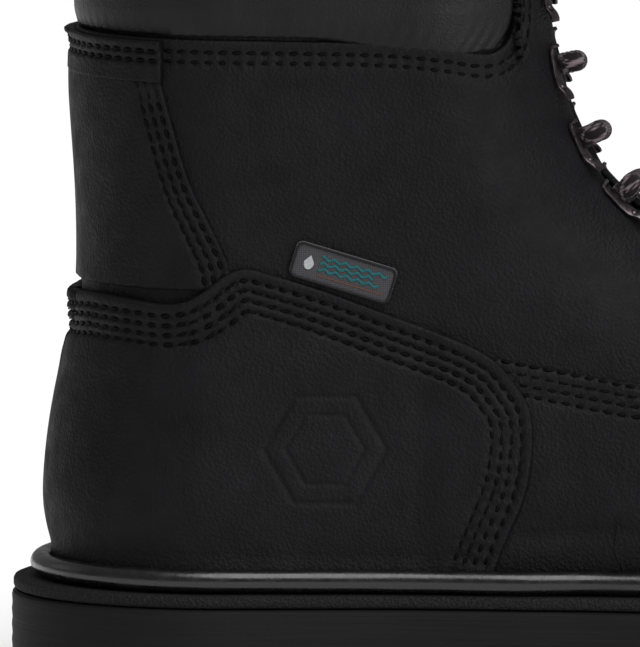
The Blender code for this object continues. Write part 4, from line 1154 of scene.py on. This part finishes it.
def build_collar(material):
    """Leather sleeve round the collar's foam, softly puckered along its seam."""
    place, normals = collar_grid()
    height = np.clip((place[..., 2] - 0.1650) / 0.034, 0, 1)
    along = run_length(place[:, 0])[:, None]
    outer = (np.arange(COLLAR_COUNT[1]) < COLLAR_OUTSIDE)[None, :]
    pucker = bump(height, 0.0, 0.10) * (0.5 + 0.5 * np.cos(2 * math.pi * along / 0.0034))
    waves = (np.sin(along * 190.0) + 0.7 * np.sin(along * 83.0 + 40.0 * height)
             + 0.5 * np.sin(along * 351.0 + 9.0))
    move = np.where(outer, 0.00014 * waves * np.sin(math.pi * height) - 0.00022 * pucker, 0.0)
    place = (place + normals * move[..., None])[:, :-1]
    collar = piece("collar_sleeve", place.reshape(-1, 3), ring_faces(*place.shape[:2]), material,
                   "collar_cover", ("collar_cover",))


def tongue_grid(rows, columns):
    z = resample([(height, 0.0) for height in TONGUE_HEIGHTS], rows)[:, :1]
    ridge_x = np.interp(-z, -RIDGE[:, 1], RIDGE[:, 0])
    y = np.interp(z, *zip(*TONGUE_HALF_WIDTH)) * np.linspace(-1, 1, columns)[None]
    points = np.stack([ridge_x + 0 * y, y, z + 0 * y], axis=-1)
    return cast(points - np.array([0.05, 0, 0.02]), np.broadcast_to(RIDGE_NORMAL, points.shape))


def build_tongue(material):
    """Padded tongue with a bound edge, a stitched border and soft channels across the pad."""
    grid = refined(tongue_grid(34, 19), stations(190), stations(100))
    rim = rim_distance(grid)
    border = 0.00035 * bump(rim, 0.0042, 0.0007)
    pad = smoothstep(0.0048, 0.0120, rim)
    rise = np.linspace(0, 1, grid.shape[0])[:, None]
    channels = 0.5 + 0.5 * np.cos(2 * math.pi * rise * TONGUE_CHANNELS)
    edge = rounding(rim, TONGUE_EDGE[0]) * TONGUE_EDGE[1] / TONGUE_EDGE[0]
    outer = TONGUE_LAYER[1] - border + 0.00025 * pad - edge
    inner = TONGUE_LAYER[0] + border - pad * (0.0016 * channels ** 0.5 + 0.0004) + edge
    solid = shell(grid.reshape(-1, 3), grid_normals(grid).reshape(-1, 3), grid_faces(*grid.shape[:2]),
                  inner.ravel(), outer.ravel())
    piece("tongue_pad", *solid, material, "tongue", ("tongue",), "tongue")


# ---- hooks ------------------------------------------------------------------------------------------
# a hook's strip, (up, out, ahead): bent foot below the lace, plate on the leather, short lip
HOOK_PATH = [(-0.0082, 0.0030, 0.0008), (-0.0064, 0.0025, 0.0007), (-0.0046, 0.0012, 0.0006),
             (-0.0020, 0.0008, 0.0005), (0.0018, 0.0008, 0.0005), (0.0036, 0.0009, 0.0006),
             (0.0045, 0.0013, 0.0008), (0.0048, 0.0021, 0.0010)]
# half width at shares of the strip's length
HOOK_HALF_WIDTH = [(0, 0.0013), (0.05, 0.0016), (0.25, 0.0014), (0.6, 0.0012), (0.92, 0.0012), (0.98, 0.0010),
                   (1.0, 0.0007)]
# cross-section of the strip: (through it, share of its half width)
HOOK_SECTION = [(0.00040, 0.82), (0.00028, 1.0), (-0.00028, 1.0), (-0.00040, 0.82),
                (-0.00040, -0.82), (-0.00028, -1.0), (0.00028, -1.0), (0.00040, -0.82)]
HOOK_STEPS = 40
RIVET_PLACE = (-0.0052, 0.0012, 0.0007)   # up, out, ahead
RIVET_RINGS = [(0.0009, 0.0), (0.0009, 0.0004), (0.0007, 0.0007), (0.0003, 0.0009)]   # radius, height
RIVET_SIDES = 12


def local_frame(x, z, side):
    """Point on the face, and the upward, outward and forward directions there."""
    point = np.array([x, float(side_y(np.array([x]), np.array([z]), side)[0]), z])
    out = normal_at(point[None])[0]
    slope = np.gradient(RIDGE, axis=0)
    nearest = int(np.argmin(np.hypot(RIDGE[:, 0] - x, RIDGE[:, 1] - z)))
    up = -np.array([slope[nearest][0], 0.0, slope[nearest][1]])
    up = unit(up - out * (up @ out))
    return point, np.array([up, out, -np.cross(up, out) * side])


def hook_strip(x, z, side):
    point, axes = local_frame(x, z, side)
    path = resample(HOOK_PATH, HOOK_STEPS)
    tangent = unit(np.gradient(path[:, :2], axis=0))
    widths = np.interp(np.linspace(0, 1, HOOK_STEPS), *zip(*HOOK_HALF_WIDTH))
    verts = []
    for place, (rise, lean), width in zip(path, tangent, widths):
        for thick, wide in HOOK_SECTION:
            verts.append(point + (place + (-lean * thick, rise * thick, wide * width)) @ axes)
    return verts, len(HOOK_SECTION)


def rivet(x, z, side):
    """Low dome that holds the strip's foot."""
    point, (up, out, ahead) = local_frame(x, z, side)
    centre = point + np.array(RIVET_PLACE) @ np.array([up, out, ahead])
    verts = [centre + out * height + (ahead * math.cos(a) + up * math.sin(a)) * radius
             for radius, height in RIVET_RINGS for a in around(RIVET_SIDES)]
    return verts, RIVET_SIDES


def build_hooks(material):
    for side, label in SIDES:
        verts = []
        faces = []
        for x, z in LACE_LEVELS:
            for shape, sides in (hook_strip(x, z, side), rivet(x, z, side)):
                faces += ring_faces(len(shape) // sides, sides, base=len(verts))
                verts += shape
        hooks = piece(f"lace_hooks_{label}", verts, faces, material, "hook_metal",
                      [f"lace_hook_{label}_{k + 1}" for k in range(len(LACE_LEVELS))])
        smooth_below(hooks, 40)


# ---- lace -------------------------------------------------------------------------------------------
# a lace leg from inside, round the facing's edge and out over it, (ahead, out)
ROUND_EDGE = [(0.0012, -0.0104), (0.0040, -0.0090), (0.0053, -0.0054), (0.0050, -0.0018), (0.0043, 0.0008),
              (0.0046, 0.0024), (0.0064, 0.0027)]
BAR_DROP = 0.0033          # how much lower the bars lie on the medial side
BRAID_SIDES = 60
BRAID_STEP = 0.00031
STRANDS = 12
BRAID_TURN = 2 * math.pi / 0.0140
# folded tail inside the shaft: x of its four runs, its lowest and highest points, and its depth
HANK_RUNS = (-0.0668, -0.0957, -0.0716, -0.0909)
HANK_FLOOR = 0.0806
HANK_CEILING = 0.1494
HANK_DEPTH = 0.0097
HANK_END = (-0.0957, 0.1540, 0.0130)
LEAD_TURN = 0.0105         # radius of the lead's bend inside the collar
LEAD_END_HEADING = math.radians(250.0)
LEAD_SINK = 0.0032         # how much deeper the lead goes along its bend
AGLET_LENGTH = 0.88        # share of the straight end that the tip covers
AGLET_RADIUS = [(0, 0.00205), (0.05, 0.0022), (0.12, 0.0020), (0.2, 0.00205), (0.5, 0.0019), (0.9, 0.0018),
                (0.97, 0.0015), (1.0, 0.0006)]
AGLET_STEPS = 30
AGLET_SIDES = 20


def beside_face(x, z, side, up, out, ahead):
    point, axes = local_frame(x, z, side)
    return point + np.array([up, out, ahead]) @ axes


def lace_centreline():
    """Straight bars across the front; inside the facing the lace climbs on alternate sides."""
    top = LACE_LEVELS[-1]
    route = [beside_face(*top, -1, 0.0075, -RISER_DEPTH, 0.0005)]
    route += [beside_face(x, z, -1, 0.0, -RISER_DEPTH, 0.0005) for x, z in LACE_LEVELS[:0:-1]]
    route.append(beside_face(*LACE_LEVELS[0], -1, 0.0020, -RISER_DEPTH, -0.0010))
    first = -1
    for x, z in LACE_LEVELS:
        for side in (first, -first):
            drop = BAR_DROP if side > 0 else 0.0
            leg = [beside_face(x, z, side, -drop, out, ahead) for ahead, out in ROUND_EDGE]
            route += leg if side == first else leg[::-1]
        first = -first
    route.append(beside_face(*top, 1, 0.0060, -RISER_DEPTH, 0.0005))
    return np.array(route)


def braid_pattern(along, angle):
    """Height and colour of a round braid of strands that wind both ways."""
    left = STRANDS * (angle + along * BRAID_TURN)
    right = STRANDS * (angle - along * BRAID_TURN)
    over = 0.5 + 0.5 * np.tanh(3.0 * np.cos(0.5 * (left + right)) * np.cos(0.5 * (left - right)))
    ridge = over * np.abs(np.cos(0.5 * left)) + (1 - over) * np.abs(np.cos(0.5 * right))
    left_id = np.floor(left / (2 * math.pi) + 0.5)
    right_id = np.floor(right / (2 * math.pi) + 0.5)
    colour = np.where(over > 0.5, np.mod(left_id, 4) == 0, np.mod(right_id, 3) == 0)
    return ridge, colour.astype(float)


def braid(name, path, material, nodes):
    """Round braided lace along a path, with each strand's colour painted on."""
    ridge, colour = braid_pattern(run_length(path)[:, None], around(BRAID_SIDES)[None, :])
    rings = tube_rings(path, LACE_RADIUS * (0.86 + 0.18 * ridge))
    lace = piece(name, rings, ring_faces(len(path), BRAID_SIDES), material, "lace_braid", nodes)
    paint = lace.data.attributes.new("fleck", "FLOAT", "POINT")
    paint.data.foreach_set("value", colour.ravel())
    return lace


def even_path(points):
    """A smooth path with rings the same distance apart, and its length."""
    rough = eased(resample(points, len(points) * 14), 14)
    length = run_length(rough)[-1]
    return even_points(rough, int(length / BRAID_STEP)), length


def fold(x_from, x_to, edge, way):
    """Half circle between two runs: way -1 at the bottom, +1 at the top."""
    radius = 0.5 * (x_from - x_to)
    middle = 0.5 * (x_from + x_to)
    height = way * abs(radius)
    return [(middle + radius * math.cos(a), edge - height + height * math.sin(a), HANK_DEPTH)
            for a in np.linspace(0, math.pi, 9)]


def tail_route():
    """Side-view route (x, z, depth) of a lace's free end: lead, flat wound hank, aglet."""
    first, second, third, fourth = HANK_RUNS
    route = [(first + 0.0003, 0.1560, 0.0110)]
    route += [(first, z, HANK_DEPTH) for z in (0.1430, 0.1250, 0.1080)]
    route += fold(first, second, HANK_FLOOR, -1)
    route += [(second, z, HANK_DEPTH) for z in (0.1080, 0.1230)]
    route += fold(second, third, HANK_CEILING, 1)
    route += [(third, z, HANK_DEPTH) for z in (0.1230, 0.1060)]
    route += fold(third, fourth, HANK_FLOOR, -1)
    route += [(fourth, z, HANK_DEPTH) for z in (0.1060, 0.1210)]
    return route + [(fourth - 0.0006, 0.1330, 0.0112), (fourth - 0.0022, 0.1420, 0.0146),
                    (fourth - 0.0042, 0.1485, 0.0148), HANK_END]


def lead_arc(start, onward):
    """Side-view bend (x, z, depth) that takes the lead from its upward start over to the hank."""
    heading = math.atan2(onward[2], onward[0])
    turn = LEAD_END_HEADING - heading
    x = start[0] - LEAD_TURN * math.sin(heading)
    z = start[2] + LEAD_TURN * math.cos(heading)
    arc = []
    for share in np.linspace(0.18, 1.0, 8):
        a = heading + turn * share - 0.5 * math.pi
        depth = RISER_DEPTH + LEAD_SINK * float(smoothstep(0.1, 0.7, share))
        arc.append((x + LEAD_TURN * math.cos(a), z + LEAD_TURN * math.sin(a), depth))
    return arc


def build_tail(looks, side, label, end, onward):
    """One free end of the lace with its aglet."""
    points = [end - onward * 0.0004, end + onward * 0.0030]
    for x, z, depth in lead_arc(points[-1], onward) + tail_route():
        points.append(beside_face(x, z, side, 0.0, -depth, 0.0))
    aglet_way = np.array([0.0, -side * 0.0010, 0.0150])
    points.append(points[-1] + aglet_way * 0.12)
    path, length = even_path(points)
    tail = braid(f"lace_tail_{label}", path, looks["lace"], (f"lace_lead_{label}", f"lace_hank_{label}"))
    aglet = build_aglet(looks["aglet"], label, points[-1], aglet_way)


def build_aglet(material, label, start, way):
    """Crimped plastic tip on the lace's end."""
    share = np.linspace(0, 1, AGLET_STEPS)
    path = start + np.outer(share * AGLET_LENGTH, way)
    radii = np.interp(share, *zip(*AGLET_RADIUS))[:, None] * np.ones(AGLET_SIDES)
    return piece(f"aglet_{label}", tube_rings(path, radii), ring_faces(AGLET_STEPS, AGLET_SIDES), material,
                 "aglet_plastic", (f"lace_aglet_{label}",))


def build_lace(looks):
    """The laced length and its two tails."""
    run, _ = even_path(lace_centreline())
    braid("lace_braid", run, looks["lace"], ("lace_run",))
    for (side, label), end, before in zip(SIDES, (run[0], run[-1]), (run[6], run[-7])):
        build_tail(looks, side, label, end, unit(end - before))


# ---- sewn-in label ----------------------------------------------------------------------------------
LABEL_MIDDLE = np.array([-0.0772, 0.1104])
LABEL_TILT = math.radians(-17.0)
LABEL_HALF = (0.0122, 0.0043)
LABEL_MARKS_LOW = 0.0009   # marks are sunk to this height in the label's field
MARKS_FROM = -0.0058
MARKS_TO = 0.0102
WAVE_ROWS = ((0.0019, 90), (0.0005, 72), (-0.0009, 82))   # height on the label, points drawn
WAVE_LENGTH = 0.0027


def on_label(points, height):
    """Label-plane points (along, across) as places above the lateral face."""
    cos, sin = math.cos(LABEL_TILT), math.sin(LABEL_TILT)
    x, z = (LABEL_MIDDLE + np.asarray(points, float) @ np.array([[cos, sin], [-sin, cos]])).T
    face = np.stack([x, side_y(x, z, -1), z], axis=1)
    return face + normal_at(face) * height


def rounded_box(half_long, half_wide, corner):
    loop = []
    for quarter, (sx, sy) in enumerate(((1, 1), (-1, 1), (-1, -1), (1, -1))):
        for a in np.linspace(0, 0.5 * math.pi, 9) + quarter * 0.5 * math.pi:
            loop.append((sx * (half_long - corner) + corner * math.cos(a),
                         sy * (half_wide - corner) + corner * math.sin(a)))
    return even_points(np.array(loop), 120, closed=True)


def domed_patch(name, loop, low, high, round_off, material, nodes=()):
    """Filled outline with softened edges, laid on the face."""
    middle = loop.mean(axis=0)
    drop = round_off / np.linalg.norm(loop - middle, axis=1).max()
    rings = [(1.0, low), (1.0, high - round_off), (1 - 0.3 * drop, high - 0.3 * round_off), (1 - drop, high)]
    rings += [(share, high) for share in (0.85, 0.6, 0.35, 0.12)]
    verts = np.vstack([on_label(middle + (loop - middle) * share, height) for share, height in rings])
    piece(name, verts, ring_faces(len(rings), len(loop)), material, "side_label", nodes)


def raised_strips(name, strips, high, material, closed=False):
    """Raised strips between an outer and an inner line each."""
    verts = []
    faces = []
    for outer, inner in strips:
        corners = ((outer, LABEL_MARKS_LOW), (outer, high), (inner, high), (inner, LABEL_MARKS_LOW))
        rows = np.stack([on_label(line, height) for line, height in corners], axis=1)
        faces += ring_faces(len(outer), 4, closed, len(verts))
        verts += rows.reshape(-1, 3).tolist()
    piece(name, verts, faces, material, "side_label")


def level_strip(along, across, half):
    """Outer and inner lines of a strip that runs along the label."""
    return np.stack([along, across + half], axis=1), np.stack([along, across - half], axis=1)


def build_label(looks):
    """Plain care tab: a drop, three wavy bars and a line, with no lettering."""
    outer = rounded_box(*LABEL_HALF, 0.0015)
    inner = rounded_box(LABEL_HALF[0] - 0.0006, LABEL_HALF[1] - 0.0006, 0.0011)
    domed_patch("label_field", outer, -0.0001, 0.0012, 0.0003, looks["label"], ("side_label",))
    raised_strips("label_border", [(outer * 0.996, inner)], 0.0015, looks["label_border"], closed=True)
    along = np.linspace(MARKS_FROM, MARKS_TO, 90)
    waves = []
    for row, count in WAVE_ROWS:
        wave = row + 0.00032 * np.sin(along[:count] * 2 * math.pi / WAVE_LENGTH + row * 900.0)
        waves.append(level_strip(along[:count], wave, 0.00036))
    raised_strips("label_waves", waves, 0.00135, looks["label_teal"])
    along = np.linspace(MARKS_FROM, MARKS_TO, 40)
    raised_strips("label_line", [level_strip(along, np.full(40, -0.002365), 0.000115)], 0.00132,
                  looks["label_orange"])
    a = around(40)
    width = 0.0012 * (1 - 0.80 * np.clip(np.cos(a), 0, 1))
    drop = np.stack([-0.0083 + width * np.sin(a), 0.0017 * np.cos(a)], axis=1)
    domed_patch("label_drop", drop, LABEL_MARKS_LOW, 0.0014, 0.0001, looks["label_pale"])


# ---- the whole boot ---------------------------------------------------------------------------------
# material of each CAD node that stays, by the start of its name
NODE_LOOKS = {"steel_shank": "steel", "steel_toe_cap": "steel", "toe_cap_edge_strip": "plate",
              "insole_board": "board", "heel_stiffener": "board", "footbed": "footbed",
              "ankle_lining": "lining", "vamp_lining": "lining", "collar_foam": "foam", "lace_tie": "label"}
# looks of the CAD nodes that fine pieces replace
REPLACED_LOOKS = {"outsole": "outsole", "sole_plate": "plate", "welt_bead": "bead",
                  "collar_cover": "soft_leather", "tongue": "soft_leather", "side_label": "label",
                  "lace_run": "lace", "lace_lead": "lace", "lace_hank": "lace", "lace_hook": "hook",
                  "lace_aglet": "aglet"}


def make_looks():
    return {
        "leather": leather("boot_leather", (0.0021, 0.0021, 0.0026), (0.0054, 0.0053, 0.0061), (0.46, 0.66),
                           0.00016, 1300.0, 0.10),
        "soft_leather": leather("collar_leather", (0.0026, 0.0026, 0.0032), (0.0062, 0.0062, 0.0071),
                                (0.38, 0.52), 0.00008, 1900.0, 0.17),
        "thread": thread("black_thread", (0.0005, 0.0005, 0.0006), (0.0018, 0.0018, 0.0021), 0.05),
        "outsole": streaked_rubber("outsole_rubber", (0.0018, 0.0018, 0.0022), (0.0052, 0.0052, 0.0058)),
        "plate": stippled_rubber("plate_rubber", (0.0012, 0.0012, 0.0015), (0.0065, 0.0065, 0.0072)),
        "bead": gloss_rubber("bead_rubber", (0.0035, 0.0035, 0.0040)),
        "hook": metal("hook_metal", (0.080, 0.066, 0.070), 0.30),
        "steel": metal("bright_steel", (0.50, 0.50, 0.52), 0.35),
        "lining": cloth("lining_mesh", (0.030, 0.030, 0.032), (0.065, 0.065, 0.070), 0.0016),
        "foam": cloth("open_foam", (0.40, 0.37, 0.28), (0.52, 0.49, 0.38), 0.0012),
        "board": cloth("board_fibre", (0.20, 0.14, 0.08), (0.30, 0.22, 0.14), 0.0009),
        "footbed": cloth("footbed_felt", (0.030, 0.031, 0.034), (0.060, 0.062, 0.068), 0.0011),
        "lace": braided_yarn("lace_yarn", (0.0065, 0.0040, 0.0048), (0.125, 0.098, 0.106)),
        "aglet": gloss_rubber("aglet_plastic", (0.012, 0.011, 0.012)),
        "label_border": thread("label_edge", (0.0045, 0.0045, 0.0050), (0.0080, 0.0080, 0.0085)),
        "label_teal": thread("teal_yarn", (0.006, 0.055, 0.062), (0.010, 0.085, 0.095)),
        "label_orange": thread("orange_yarn", (0.075, 0.028, 0.012), (0.110, 0.042, 0.018)),
        "label_pale": thread("pale_yarn", (0.22, 0.23, 0.24), (0.34, 0.35, 0.36)),
        "label": cloth("label_weave", (0.018, 0.018, 0.020), (0.032, 0.032, 0.036), 0.0005, 0.00008),
    }


def dress_nodes(looks):
    """Procedural materials on the CAD nodes."""
    for obj in bpy.data.objects:
        if obj.type != "MESH" or obj.name not in frame["nodes"]:
            continue
        for start, key in (NODE_LOOKS | REPLACED_LOOKS).items():
            if obj.name.startswith(start):
                obj.data.materials.clear()
                obj.data.materials.append(looks[key])


def main():
    add_camera()
    looks = make_looks()
    build_lace(looks)
    build_hooks(looks["hook"])
    add_studio()
    seams = make_seams()
    build_panels(looks["leather"], seams)
    heights = {"counter": counter_height, "backstay": backstay_height, "quarter": collar_row_height,
               "vamp": vamp_height}
    for kind, height in heights.items():
        stitches(f"{kind}_stitches", seams[kind], height, looks["thread"])
    build_collar(looks["soft_leather"])
    build_tongue(looks["soft_leather"])
    build_sole(looks)
    build_label(looks)
    dress_nodes(looks)


main()
